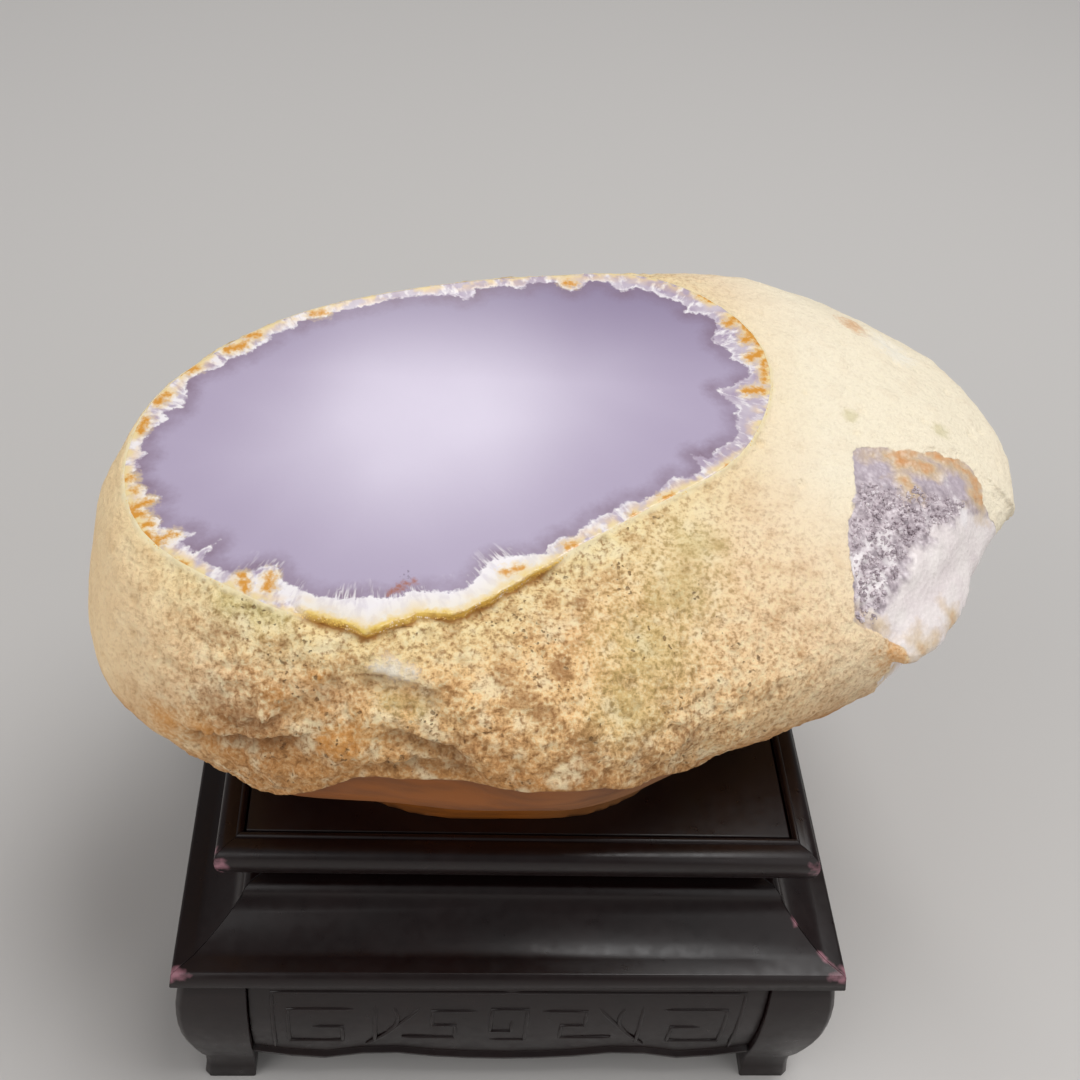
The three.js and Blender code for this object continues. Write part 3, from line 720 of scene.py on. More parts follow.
def window_finish(tree, place, fields):
    """Polished chalcedony: milky, faintly translucent lavender, fringed with quartz cut flat."""
    stone = bpy.context.scene.nodule_settings
    depth, front = fields["rim_depth"], fields["lip"]
    backwards = add(tree, "SeparateXYZ", place, out="Y")
    cloud, tufts, stains = (
        add(tree, "TexNoise", Vector=place, Scale=per(size), Detail=2.0) for size in (30, 4, 2.6)
    )
    rag = add(tree, "TexNoise", Vector=place, Scale=per(0.8), Detail=3.0, Roughness=0.6)
    rag = add(tree, "MapRange", rag, 0.3, 0.7, -0.35, 0.35)
    clear = add(tree, "Math", fields["clear_depth"], rag)

    # The clear stone is milkiest in its middle, a milkiness that also paints part of the soft highlight, and
    # painted shade darkens it to the back and near its edge
    milk_and_sheen = add(tree, "MapRange", clear, 1.0, 24.0, interpolation_type="SMOOTHSTEP")
    milk_and_sheen = add(tree, "Math", milk_and_sheen, cloud, operation="MULTIPLY")
    # Painted shade darkens the clear stone just inside its fringe
    shade = add(tree, "MapRange", clear, 3.4, 0.1, 0.0, 1.1, interpolation_type="SMOOTHSTEP")
    shade = add(tree, "Math", shade, tufts, operation="MULTIPLY")
    colour = paint(
        # painted shade darkens the clear stone towards the back
        tree, stone.window_colour, (milk_and_sheen, "#D2C8DC"), (backwards, 6 * MM, 28 * MM, 0.8, "#8B7D9B"),
        (shade, "#846C7E"),
    )

    # Patterns that follow the rim are stretched away from it: needles more than crystal faces.
    # Needles finer than a tenth of a millimetre brush into the clear stone. They are drawn 0.3 mm wide
    stretched = []
    for stretch in (0.15, 0.5):
        away = add(tree, "Math", depth, stretch, operation="MULTIPLY")
        away = add(tree, "CombineXYZ", Z=away)
        stretched.append(add(tree, "VectorMath", fields["rim_place"], away))
    needles = add(tree, "TexNoise", Vector=stretched[0], Scale=2.0, Detail=2.0)
    reach = add(tree, "MapRange", tufts, 0.4, 0.62, 0.6, 3.6)
    fade = add(tree, "Math", clear, reach, operation="DIVIDE")
    fade = add(tree, "MapRange", fade, 1.0, 0.0)
    colour = paint(
        tree, colour, (needles, 0.52, 0.66, 0.85, stone.quartz_colour), by=(fade, fields["brush"])
    )

    # The fringe is cut crystals: white, lilac where one looks into them, peach and cream by the rim
    bodies = add(tree, "TexNoise", Vector=stretched[1], Scale=0.8, Detail=3.0, Roughness=0.55)
    looked_into = add(tree, "Math", fields["glassy"], 0.1, bodies, operation="MULTIPLY_ADD")
    bared = add(tree, "MapRange", tufts, 0.35, 0.6, 0.6, 1.0)
    tufted = add(tree, "MapRange", tufts, 0.38, 0.6, 0.4, 1.0)
    whiter = add(tree, "MapRange", front, 0.0, 1.0, 1.0, 0.3)
    behind = add(tree, "MapRange", front, 0.0, 1.0, 1.0, 0.0)
    outer = add(tree, "MapRange", depth, 2.6, 0.4)
    stained = add(tree, "MapRange", stains, 0.44, 0.6, 0.05, 0.85)
    broken = add(tree, "MapRange", stains, 0.45, 0.6, 0.05, 1.0)
    edge = add(tree, "Math", rag, depth)
    layers = (
        ([bared, whiter], looked_into, 0.44, 0.6, 1.0, "#B3A2B8"),
        ([broken], clear, -0.7, -0.1, 0.85, "#FBF6F8"),
        ([outer], stained, "#F2D2A0"),
        ([front], depth, 3.6, 0.8, 0.5, "#F6EAC6"),
        ([behind, broken], edge, 1.0, 0.4, 0.7, "#F1DDA4"),
        ([front, tufted], edge, 1.2, 0.3, 0.85, "#F2CB4E"),
        ([front], edge, 0.25, -0.25, 0.8, "#C58F36"),
    )
    facet = stone.quartz_colour
    for by, *layer in layers:
        facet = paint(tree, facet, layer, by=by)
    fringe = add(tree, "MapRange", clear, 0.18, -0.18)
    colour = paint(tree, colour, (fringe, facet))
    marks = (
        ("iron_streak", -1.4, 0.0, 0.8, "#F4D99C"), ("iron_streak", -0.55, 0.3, 0.9, stone.iron_colour),
        ("rust_streak", -0.4, 0.5, 0.8, "#A9603A"), ("needle_streak", -0.2, 0.2, 0.9, "#3A2A36"),
    )
    for name, *layer in marks:
        streak = add(tree, "Math", rag, 1.6, fields[name], operation="MULTIPLY_ADD")
        colour = paint(tree, colour, (streak, *layer))
    return colour, 0.2, fringe


def lip_finish(tree, place, fields):
    """The broken skin round the window: a cream line, and iron-stained under the front's quartz."""
    grain = add(tree, "TexNoise", Vector=place, Scale=per(1.1), Detail=4.0)
    rag = add(tree, "MapRange", grain, 0.3, 0.7, -0.4, 0.4)
    depth = add(tree, "Math", fields["rim_depth"], rag)
    skin = paint(tree, "#FCF1D2", (grain, "#EFDAA0"))
    foot = paint(tree, "#E8BE58", (depth, 0.0, -0.7, 1.0, "#AE7A34"))
    return paint(tree, skin, (fields["lip"], foot)), 0.6, grain


def chip_finish(tree, place, fields):
    """The broken end: grey-violet drusy quartz, a smooth white part and a rusty upper edge."""
    upwards = add(tree, "SeparateXYZ", fields["chip_place"], out="Y")
    grain = add(tree, "TexVoronoi", Vector=place, Scale=per(0.75), out="Distance")
    cloud = add(tree, "TexNoise", Vector=place, Scale=per(3.5), Detail=5.0)
    fine = add(tree, "TexNoise", Vector=place, Scale=per(1.1), Detail=3.0)
    druse = add(tree, "ValToRGB", fine, out="Color", stops=[
        (0.34, "#9C8F96"), (0.68, "#E8DCE0"), (0.5, "#C1B3B9"),
    ])
    wander = add(tree, "MapRange", cloud, 0.3, 0.7, -1.8, 1.8)
    milky = add(tree, "Math", fields["white_depth"], wander)
    milk = paint(tree, "#FFF9F3", (cloud, "#EADBDD"))
    colour = paint(tree, druse, (upwards, 5.0, 9.5, 0.8, "#C0B2BC"), (milky, -0.9, 1.2, 1.0, milk))
    marks = (
        ("chip_speck", -0.8, 0.8, 0.9, "#FFF8F8"), ("chip_stain", -2.8, 0.5, 0.85, "#DEC39A"),
        ("chip_stain", 0.1, 2.3, 0.8, "#DB9450"),
    )
    for name, *layer in marks:
        mark = add(tree, "Math", fields[name], wander)
        colour = paint(tree, colour, (mark, *layer))
    return colour, 0.38, grain


def band_finish(tree, place, fields):
    """The smooth base under the rind: rubbed orange-brown chalcedony skin, duller to the right, with painted
    shadow just under the rind's edge.
    """
    long = add(tree, "VectorMath", place, (0.35, 1.0, 1.6), operation="MULTIPLY")
    cloud = add(tree, "TexNoise", Vector=long, Scale=per(4), Detail=5.0)
    cloud = add(tree, "MapRange", cloud, 0.45, 0.65, 0.0, 0.6)
    rightwards = add(tree, "SeparateXYZ", place, out="X")
    colour = paint(
        tree, "#98540E", (rightwards, -10 * MM, 22 * MM, 1.0, "#906A44"),
        # painted shadow darkens the band just under the rind's overhanging edge
        (fields["band_depth"], 5.0, 0.0, 0.5, "#7E4410"), (cloud, "#6E3E14"),
    )
    return colour, 0.6, cloud


def nodule_material():
    """Natural chalcedony: porous rind, quartz lip, polished window, broken end and smooth base."""
    material, tree, place = new_material("natural chalcedony")
    fields = {}
    for name in FIELDS:
        out = "Vector" if name.endswith("place") else "Fac"
        fields[name] = add(tree, "Attribute", out=out, attribute_name=name)
    depth = fields["rim_depth"]
    wander = add(tree, "TexNoise", Vector=place, Scale=per(3), Detail=3.0)
    reach = add(tree, "MapRange", fields["lip"], 0.0, 1.0, 1.2, 2.3)
    lip = add(tree, "Math", reach, wander, depth, operation="MULTIPLY_ADD")
    spread = add(tree, "MapRange", wander, 0.3, 0.7, -0.5, 0.5)
    chip = add(tree, "Math", fields["chip_depth"], spread)
    band = add(tree, "Math", fields["band_depth"], spread)

    # Each finish over the rind, the height of its relief, and where it lies
    finishes = (
        (lip_finish, 0.5, add(tree, "MapRange", lip, -0.5, 0.5)),
        (window_finish, 0.04, add(tree, "Math", depth, 0.0, operation="GREATER_THAN")),
        (chip_finish, 0.5, add(tree, "MapRange", chip, -0.15, 0.15)),
        (band_finish, 0.3, add(tree, "MapRange", band, -0.3, 0.5)),
    )
    colour, roughness, relief = rind_finish(tree, place, fields)
    for finish, height, mask in finishes:
        next_colour, next_roughness, next_relief = finish(tree, place, fields)
        colour = paint(tree, colour, (mask, next_colour))
        roughness = add(tree, "Mix", mask, None, roughness, next_roughness)
        next_relief = add(tree, "Math", next_relief, height, operation="MULTIPLY")
        relief = add(tree, "Mix", mask, None, relief, next_relief)
    normal = add(tree, "Bump", Height=relief, Strength=0.9, Distance=0.3 * MM)
    surface = add(
        tree, "BsdfPrincipled", Base_Color=colour, Roughness=roughness, Normal=normal, IOR=1.54
    )
    add(tree, "OutputMaterial", surface)
    return material


def crystal_material():
    """Quartz druse: small glassy points, greyish violet to white, that glint."""
    material, tree, place = new_material("drusy quartz")
    cloud = add(tree, "TexNoise", Vector=place, Scale=per(1.6), Detail=2.0)
    colour = add(tree, "ValToRGB", cloud, out="Color", stops=[
        (0.34, "#AA9CA3"), (0.68, "#EFE6E9"), (0.5, "#CABDC3"),
    ])
    surface = add(tree, "BsdfPrincipled", Base_Color=colour, Roughness=0.28, IOR=1.54)
    add(tree, "OutputMaterial", surface)
    return material


def fringe_material():
    """Quartz of the window's lip: white and cream, stained yellow by iron in places."""
    material, tree, place = new_material("fringe quartz")
    cloud = add(tree, "TexNoise", Vector=place, Scale=per(3), Detail=2.0)
    stain = add(tree, "MapRange", cloud, 0.4, 0.6, 0.35, 1.0)
    colour = paint(tree, bpy.context.scene.nodule_settings.quartz_colour, (stain, "#EFC55E"))
    surface = add(tree, "BsdfPrincipled", Base_Color=colour, Roughness=0.35, IOR=1.54)
    add(tree, "OutputMaterial", surface)
    return material


# Where the lacquer is rubbed thin on the rail's and the lip's corners: a place in one quarter of the
# stand, from the middle of its plan, and a radius
WORN_CORNERS = [((47.8, 47.8, 56.5), 5), ((55, 55, 37.5), 6)]


def lacquer_material():
    """Lacquered hardwood: near-black red-brown under a clear gloss, rubbed pale at the corners and along the
    mitres, where the pale line is partly a painted highlight.
    """
    stand = bpy.context.scene.stand_settings
    material, tree, place = new_material("lacquered hardwood")
    grain, rub, patchy = (
        add(tree, "TexNoise", Vector=place, Scale=per(size), Detail=detail)
        for size, detail in ((9, 5.0), (2.2, 4.0), (7, 1.0))
    )

    # One quarter of the plan stands for all four
    centred = add(tree, "VectorMath", place, tuple(-STAND_MIDDLE * MM))
    folded = add(tree, "VectorMath", centred, operation="ABSOLUTE")
    x, y, height = (add(tree, "SeparateXYZ", folded, out=axis) for axis in "XYZ")
    off_mitre = add(tree, "Math", x, y, operation="SUBTRACT")
    off_mitre = add(tree, "Math", off_mitre, operation="ABSOLUTE")
    outwards = add(tree, "Math", x, y)

    # The mitres are rubbed in patches, above the legs and near the outside, and this pale line also paints
    # the highlight of the rounded mitre ridge
    worn_and_sheen = add(tree, "MapRange", off_mitre, 2.4 * MM, 0.1 * MM)
    limits = (
        add(tree, "MapRange", height, 33 * MM, 35 * MM), add(tree, "MapRange", patchy, 0.42, 0.58),
        add(tree, "MapRange", outwards, 88 * MM, 94 * MM), rub,
    )
    for limit in limits:
        worn_and_sheen = add(tree, "Math", worn_and_sheen, limit, operation="MULTIPLY")
    for corner, radius in WORN_CORNERS:
        corner = tuple(np.array(corner) * MM)
        away = add(tree, "VectorMath", folded, corner, out="Value", operation="DISTANCE")
        rubbed = add(tree, "MapRange", away, radius * MM, 0.2 * radius * MM)
        rubbed = add(tree, "Math", rubbed, rub, operation="MULTIPLY")
        worn_and_sheen = add(tree, "Math", worn_and_sheen, rubbed, operation="MAXIMUM")
    colour = paint(
        tree, stand.wood_colour, (grain, "#1C0A09"), (worn_and_sheen, 0.33, 0.56, 0.85, stand.worn_and_sheen_colour)
    )
    roughness = add(tree, "MapRange", rub, 0.3, 0.8, 0.27, 0.42)
    normal = add(tree, "Bump", Height=grain, Strength=0.15, Distance=0.3 * MM)
    surface = add(
        tree, "BsdfPrincipled", Base_Color=colour, Roughness=roughness, Normal=normal, IOR=1.45
    )
    add(tree, "OutputMaterial", surface)
    return material


def floor_material():
    """Plain matt studio paper."""
    material, tree, _ = new_material("studio paper")
    tone = bpy.context.scene.studio_settings.floor_colour
    surface = add(tree, "BsdfPrincipled", Base_Color=tone, Roughness=0.8)
    add(tree, "OutputMaterial", surface)
    return material


def dress(piece, material, slot_name, *nodes):
    """Gives a piece its material and its body, and hides the nodes that it stands for."""
    piece.data.materials.clear()
    piece.data.materials.append(material)
    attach(piece, "root")
    if nodes:
        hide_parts(*nodes)


# The stage

# The camera's place in millimetres from the middle of the stand's plan, and its turns in degrees
CAMERA_PLACE = np.array([-18.8, -187.9, 251.7])
CAMERA_TURNS = (48.06, -4.54, -2.49)

# The height in millimetres of the stone's middle, which the lights face, and the floor's width in metres
LIT_HEIGHT = 90
FLOOR_WIDTH = 6

# Where the window lamp stands from there, in metres, and the light from all round
LAMP_AWAY = Vector((-0.0075, 0.42, 0.6225))
ROOM_TONE = "#F2F2F4"
ROOM_LIGHT = 0.22


def add_softbox(name, place, target, width, depth, power):
    """An area light at a place, that faces a target."""
    bpy.ops.object.light_add(type="AREA", location=place)
    light = bpy.context.object
    light.name = name
    light.data.shape = "RECTANGLE"
    light.data.size = width
    light.data.size_y = depth
    light.data.energy = power
    light.rotation_euler = (target - place).to_track_quat("-Z", "Y").to_euler()


class STONE_OT_studio(bpy.types.Operator):
    """Sets the camera, the plain floor and the soft lights"""

    bl_idname = "stone.studio"
    bl_label = "Studio"

    def execute(self, context):
        studio = context.scene.studio_settings
        deselect_all()
        bpy.ops.object.camera_add(
            location=Vector((STAND_MIDDLE + CAMERA_PLACE) * MM),
            rotation=[math.radians(turn) for turn in CAMERA_TURNS],
        )
        camera = context.object
        camera.data.lens = studio.lens
        camera.data.sensor_width = 36
        context.scene.camera = camera
        deselect_all()
        bpy.ops.mesh.primitive_plane_add(size=FLOOR_WIDTH, location=(0, 0, 0))
        floor = context.object
        floor.name = "floor"
        floor.data.materials.append(floor_material())
        stone = Vector((STAND_MIDDLE + (0, 0, LIT_HEIGHT)) * MM)
        # Each light's name, place, width and depth in metres, and power in watts
        softboxes = (
            ("overhead softbox", Vector((0.26, 0.04, 0.98)), 0.7, 0.46, studio.brightness),
            ("left fill", Vector((-1.4, -0.8, 0.75)), 1.6, 1.6, studio.fill),
            ("right fill", Vector((1.25, -0.95, 0.75)), 1.6, 1.6, 0.5 * studio.fill),
            ("window lamp", stone + LAMP_AWAY, 0.13, 0.09, studio.sheen),
        )
        for name, place, width, depth, power in softboxes:
            add_softbox(name, place, stone, width, depth, power)
        world = bpy.data.worlds.new("studio")
        world.use_nodes = True
        background = world.node_tree.nodes["Background"]
        background.inputs["Color"].default_value = linear(ROOM_TONE)
        background.inputs["Strength"].default_value = ROOM_LIGHT
        context.scene.world = world
        context.scene.view_settings.view_transform = "Standard"
        return {"FINISHED"}


# The stone

# The surface is refined in faces that are turned to the camera by more than this share, no further in
# from the window's rim than this, and again from outside the rim to just inside the clear stone
TURNED = 0.12
FRINGE_WIDTH = 7.5
RIM_OUTSIDE = 1.6
CLEAR_INSIDE = 1.0

# The roughness of each place, coarse before fine: its group of points, and the lumps' width and height
LUMPS = (
    ("crag", 3.2, 1.6), ("rind", 5.0, 1.0), ("rind", 1.7, 0.7), ("rind", 0.9, 0.35),
    ("druse", 1.3, 1.0), ("white", 3.0, 0.5),
)

# The pits' least radius and how much wider they get, then as shares of the radius how far their rim
# rounds off and how deep they are
PIT_RADIUS = 0.4
PIT_WIDER = 0.6
PIT_ROUND = 1.5
PIT_DEPTH = 0.6

# The share of their depth that the ledges step in, and how far the window's lip and the rind's foot are
# undercut
LEDGE_SHARE = 0.8
LIP_UNDERCUT = 1.1
FOOT_UNDERCUT = 0.9


def dig_pits(points, normals, allowed, count):
    """Sinks pits of many sizes into the rind, and says how deep in a pit each point lies."""
    random = np.random.default_rng(3)
    tree = kdtree.KDTree(len(points))
    for i, point in enumerate(points):
        tree.insert(point, i)
    tree.balance()
    candidates = np.flatnonzero(allowed > 0.3)
    chances = allowed[candidates] / allowed[candidates].sum()
    pit = np.zeros(len(points))
    drop = np.zeros(len(points))
    for middle in random.choice(candidates, count, replace=False, p=chances):
        radius = PIT_RADIUS + PIT_WIDER * random.random() ** 4
        for _, i, distance in tree.find_range(points[middle], PIT_ROUND * radius):
            share = max(0.0, 1 - (distance / (PIT_ROUND * radius)) ** 2) ** 2
            pit[i] = max(pit[i], share)
            drop[i] = max(drop[i], share * PIT_DEPTH * radius)
    return points - normals * drop[:, None], pit


class STONE_OT_nodule(bpy.types.Operator):
    """Models the nodule's rind, window, chip and base from the fixed solid"""

    bl_idname = "stone.nodule"
    bl_label = "Nodule"

    def execute(self, context):
        settings = context.scene.nodule_settings
        window = Window()
        piece = copy_of("nodule", "chalcedony_nodule")
        apply_modifier(piece, "REMESH", mode="VOXEL", voxel_size=settings.step)
        self.refine_front(piece, window)
        apply_modifier(
            piece, "SHRINKWRAP", target=frame["nodes"]["nodule"], wrap_method="NEAREST_SURFACEPOINT",
        )
        rind, rough = self.roughen(piece, window)
        pit, crease = self.step_in(piece.data, window, rind, rough, settings.pit_count)
        piece.vertex_groups.clear()
        self.store_fields(piece.data, window)
        store_field(piece.data, "pit", pit)
        store_field(piece.data, "crease", crease)
        self.shade(piece.data)
        dress(piece, nodule_material(), "chalcedony", "nodule")
        return {"FINISHED"}

    def refine_front(self, piece, window):
        """Halves the surface's step where the camera sees it, and once more round the window's rim."""
        eye = STAND_MIDDLE + CAMERA_PLACE

        def seen(middles, facings):
            towards = eye - middles
            share = np.einsum("ij,ij->i", towards, facings) / np.linalg.norm(towards, axis=1)
            depth, _ = window_fields(middles, window)
            return (share > TURNED) & (depth < FRINGE_WIDTH)

        def beside_rim(middles, _):
            depth, _ = window_fields(middles, window)
            flat = window.flatten(middles)[:, :2]
            clear, _ = outline_depth(flat, CLEAR_OUTLINE)
            return (depth > -RIM_OUTSIDE) & (clear < CLEAR_INSIDE)

        refine(piece, seen)
        refine(piece, beside_rim)

    def roughen(self, piece, window):
        """Softens the solid's facets and raises the lumps of each place.

        Gives how far each point belongs to the rind, and to the rind's rough part.
        """
        points = points_of(piece.data)
        depth, _ = window_fields(points, window)
        chip, spot = chip_fields(points, CHIP_OUTLINE)
        white, _ = outline_depth(spot, WHITE_OUTLINE)
        off_window = ramp(-depth, 0.3, 2.0)
        off_chip = ramp(np.abs(chip), 0.2, 1.6)
        off_base = ramp(points[:, 2], PANEL_TOP + 0.2, PANEL_TOP + 2)
        weigh(piece, "soften", off_window * off_chip * off_base)
        apply_modifier(piece, "SMOOTH", factor=0.5, iterations=30, vertex_group="soften")

        points = points_of(piece.data)
        x, _, z = points.T
        rind = ramp(-depth, 0.3, 1.6) * ramp(-chip, 0.1, 1.2) * ramp(-band_field(points), 0.2, 2.0)
        rough = rind * self.roughness_share(points)
        bare = ramp(chip, 0.2, 1.2)
        weigh(piece, "crag", rough * ramp(z, 106, 94) * ramp(x, 34, 10) * ramp(x, -66, -52))
        weigh(piece, "rind", rough)
        weigh(piece, "druse", bare * ramp(-white, -1.0, 0.6))
        weigh(piece, "white", bare * ramp(white, -0.6, 1.0))
        for group, size, height in LUMPS:
            texture = bpy.data.textures.new(f"{group} {size}", "CLOUDS")
            texture.noise_scale = size * MM
            texture.noise_type = "HARD_NOISE" if group == "crag" else "SOFT_NOISE"
            texture.noise_depth = 2
            apply_modifier(
                piece, "DISPLACE", texture=texture, texture_coords="LOCAL", strength=height * MM,
                mid_level=0.5, vertex_group=group,
            )
        return rind, rough

    def roughness_share(self, points):
        """How rough the rind is: least at the right behind the front, and at the left end."""
        away = points - STAND_MIDDLE
        right = ramp(away[:, 0], 5, 45) * ramp(away[:, 1], -45, -15)
        left_end = 1 - ramp(away[:, 0], -62, -46)
        return 1 - 0.65 * np.maximum(right, left_end)

    def step_in(self, mesh, window, rind, rough, pit_count):
        """Sinks the ledges and pits, flattens the window, and undercuts its lip and the rind's foot.

        Gives how deep in a pit and how far under a ledge each point lies, the second for painted shade under
        the ledges.
        """
        points, normals = points_of(mesh), normals_of(mesh)
        front = front_share(points, window)
        ledges = ledge_depth(points) * rind
        points -= normals * (LEDGE_SHARE * ledges)[:, None]
        points, pit = dig_pits(points, normals, rough, pit_count)
        on_window = window_fields(points, window)[0] > 0
        above = np.where(on_window, window.flatten(points)[:, 2], 0)
        points -= above[:, None] * window.facing
        lip = lip_depth(points, window)
        undercut = front * ramp(-lip, 0.0, 0.6) * (1 - ramp(-lip, 1.2, 3.2))
        points -= normals * (LIP_UNDERCUT * undercut)[:, None]
        below_rind = ramp(band_field(points), -0.2, 0.6)
        points -= normals * (1, 1, 0) * (FOOT_UNDERCUT * below_rind)[:, None]
        points[:, 2] = np.maximum(points[:, 2], PANEL_TOP)
        place_points(mesh, points)
        return pit, np.clip(0.5 * ledges, 0, 0.7)

    def store_fields(self, mesh, window):
        """Keeps the fields that the material draws the stone's places with."""
        points = points_of(mesh)
        depth, foot = window_fields(points, window)
        flat = window.flatten(points)[:, :2]
        front = front_share(points, window)
        chip, spot = chip_fields(points, CHIP_FACE)
        x, _, z = (points - STAND_MIDDLE).T
        fields = {
            "rim_depth": depth + front * (lip_depth(points, window) - depth),
            "rim_place": np.pad(foot, ((0, 0), (0, 1))),
            "clear_depth": outline_depth(flat, CLEAR_OUTLINE)[0],
            "lip": front, "brush": brush_share(flat), "glassy": glassy_share(flat),
            "browned": np.interp(x, *np.transpose(BROWN_LINE)) - z,
            "band_depth": band_field(points),
            "chip_depth": chip, "chip_place": np.pad(spot, ((0, 0), (0, 1))),
            "white_depth": outline_depth(spot, WHITE_OUTLINE)[0],
            "iron_streak": streak_depth(flat, IRON_STREAKS),
            "rust_streak": streak_depth(flat, RUST_STREAKS),
            "needle_streak": streak_depth(flat, NEEDLE_STREAKS),
            "chip_stain": streak_depth(spot, CHIP_STAINS),
            "chip_speck": streak_depth(spot, CHIP_SPECKS),
            "iron": spot_share(points, IRON_SPOTS), "olive": spot_share(points, OLIVE_SPOTS),
            "chalk": spot_share(points, CHALK_SPOTS), "brown": spot_share(points, BROWN_SPOTS),
        }
        for name, values in fields.items():
            store_field(mesh, name, values)

    def shade(self, mesh):
        """Shades the rough surface smooth and the polished window flat."""
        depth = read_field(mesh, "rim_depth")
        corners = np.empty(len(mesh.loops), int)
        mesh.loops.foreach_get("vertex_index", corners)
        starts = np.empty(len(mesh.polygons), int)
        mesh.polygons.foreach_get("loop_start", starts)
        lowest = np.minimum.reduceat(depth[corners], starts)
        mesh.polygons.foreach_set("use_smooth", lowest <= 0)
        mesh.update()


# The crystals

# The height of the prism and of its tip, in a crystal one millimetre wide
PRISM = 0.6
TIP = 0.5

# The share of a crystal's width that is sunk in the stone
ROOTED = 0.35

# The druse: the least width of a crystal, how much wider it gets, how far it leans and how far it strays
DRUSE_WIDTH = 0.3
DRUSE_WIDER = 0.6
DRUSE_LEAN = 0.45
DRUSE_STRAY = 0.3

# The window's lip: the most crystals that it carries, their least width and how far they lean
LIP_CRYSTALS = 420
LIP_WIDTH = 0.2
LIP_LEAN = 0.4


def quartz_point(name):
    """One quartz crystal: a six-sided prism that ends in a six-sided pyramid, one millimetre wide."""
    deselect_all()
    bpy.ops.mesh.primitive_cylinder_add(vertices=6, radius=0.5 * MM, depth=PRISM * MM)
    crystal = bpy.context.object
    crystal.name = name
    bpy.ops.object.mode_set(mode="EDIT")
    bpy.ops.mesh.select_all(action="DESELECT")
    bpy.ops.object.mode_set(mode="OBJECT")
    for face in crystal.data.polygons:
        face.select = face.normal.z > 0.9
    bpy.ops.object.mode_set(mode="EDIT")
    bpy.ops.mesh.poke(offset=TIP * MM)
    bpy.ops.object.mode_set(mode="OBJECT")
    return crystal


def scatter(pattern, placements, name):
    """One mesh that holds a copy of the pattern at each placement. The pattern is used up."""
    grown = bmesh.new()
    for placement in placements:
        copy = pattern.data.copy()
        copy.transform(placement)
        grown.from_mesh(copy)
        bpy.data.meshes.remove(copy)
    grown.to_mesh(pattern.data)
    grown.free()
    pattern.name = name
    pattern.data.name = name
    pattern.data.shade_flat()
    return pattern


def grow(place, facing, spin, width, length):
    """The matrix that stands a crystal at a place in millimetres, along a facing."""
    turn = Vector(facing).to_track_quat("Z", "Y").to_matrix().to_4x4()
    size = Matrix.Diagonal((width, width, length, 1))
    return Matrix.Translation(Vector(place) * MM) @ turn @ Matrix.Rotation(spin, 4, "Z") @ size


class STONE_OT_druse(bpy.types.Operator):
    """Grows fine quartz points all over the grey part of the broken end"""

    bl_idname = "stone.druse"
    bl_label = "Drusy quartz"

    def execute(self, context):
        mesh = bpy.data.objects["chalcedony_nodule"].data
        points, normals = points_of(mesh), normals_of(mesh)
        _, spot = chip_fields(points, CHIP_FACE)
        chip, white = read_field(mesh, "chip_depth"), read_field(mesh, "white_depth")
        random = np.random.default_rng(8)
        rough = (chip > 0.7) & (white < -0.5) & (spot[:, 1] < 6.5) & (normals[:, 2] > 0.2)
        placements = []
        for _ in range(context.scene.nodule_settings.crystal_count):
            i = random.choice(np.flatnonzero(rough))
            lean = normals[i] + DRUSE_LEAN * random.normal(size=3)
            width = DRUSE_WIDTH + DRUSE_WIDER * random.random() ** 3
            place = points[i] + DRUSE_STRAY * random.normal(size=3) - ROOTED * width * normals[i]
            placements.append(grow(place, lean, random.random() * math.tau, width, width))
        piece = scatter(quartz_point("quartz point"), placements, "druse_crystals")
        dress(piece, crystal_material(), "chalcedony", "nodule")
        return {"FINISHED"}


class STONE_OT_fringe(bpy.types.Operator):
    """Grows small quartz crystals on the broken lip round the window"""

    bl_idname = "stone.fringe"
    bl_label = "Quartz fringe"

    def execute(self, context):
        mesh = bpy.data.objects["chalcedony_nodule"].data
        points, normals = points_of(mesh), normals_of(mesh)
        depth, lip = read_field(mesh, "rim_depth"), read_field(mesh, "lip")
        random = np.random.default_rng(21)
        ready = np.flatnonzero((depth < -0.1) & (depth > -0.45))
        chances = 0.1 + lip[ready]
        count = min(LIP_CRYSTALS, len(ready))
        chosen = random.choice(ready, count, replace=False, p=chances / chances.sum())
        placements = []
        for i in chosen:
            lean = normals[i] + LIP_LEAN * random.normal(size=3)
            width = LIP_WIDTH + (0.1 + 0.15 * lip[i]) * random.random()
            place = points[i] - ROOTED * width * normals[i]
            placements.append(grow(place, lean, random.random() * math.tau, width, 0.8 * width))
        piece = scatter(quartz_point("lip crystal"), placements, "fringe_crystals")
        dress(piece, fringe_material(), "chalcedony", "nodule")
        return {"FINISHED"}


# The stand

# The parts that run along the four sides and meet in mitres
MITRED = ("rail", "waist", "shoulder", "apron")

# The upper and lower end of the shoulder's cove, as distance from the stand's middle and height, and
# the share of the cove that is filled
COVE_TOP = (44.6, 43.1)
COVE_FOOT = (52, 37.3)
COVE_FILL = 0.65

# How far each end of a mitred part grows, so that only a hair's gap is left between neighbours
END_GROWTH = 0.1

# The turns in degrees between faces above which an edge is rounded, and up to which it is shaded smooth
ROUNDED_TURN = 38
SMOOTH_TURN = 35


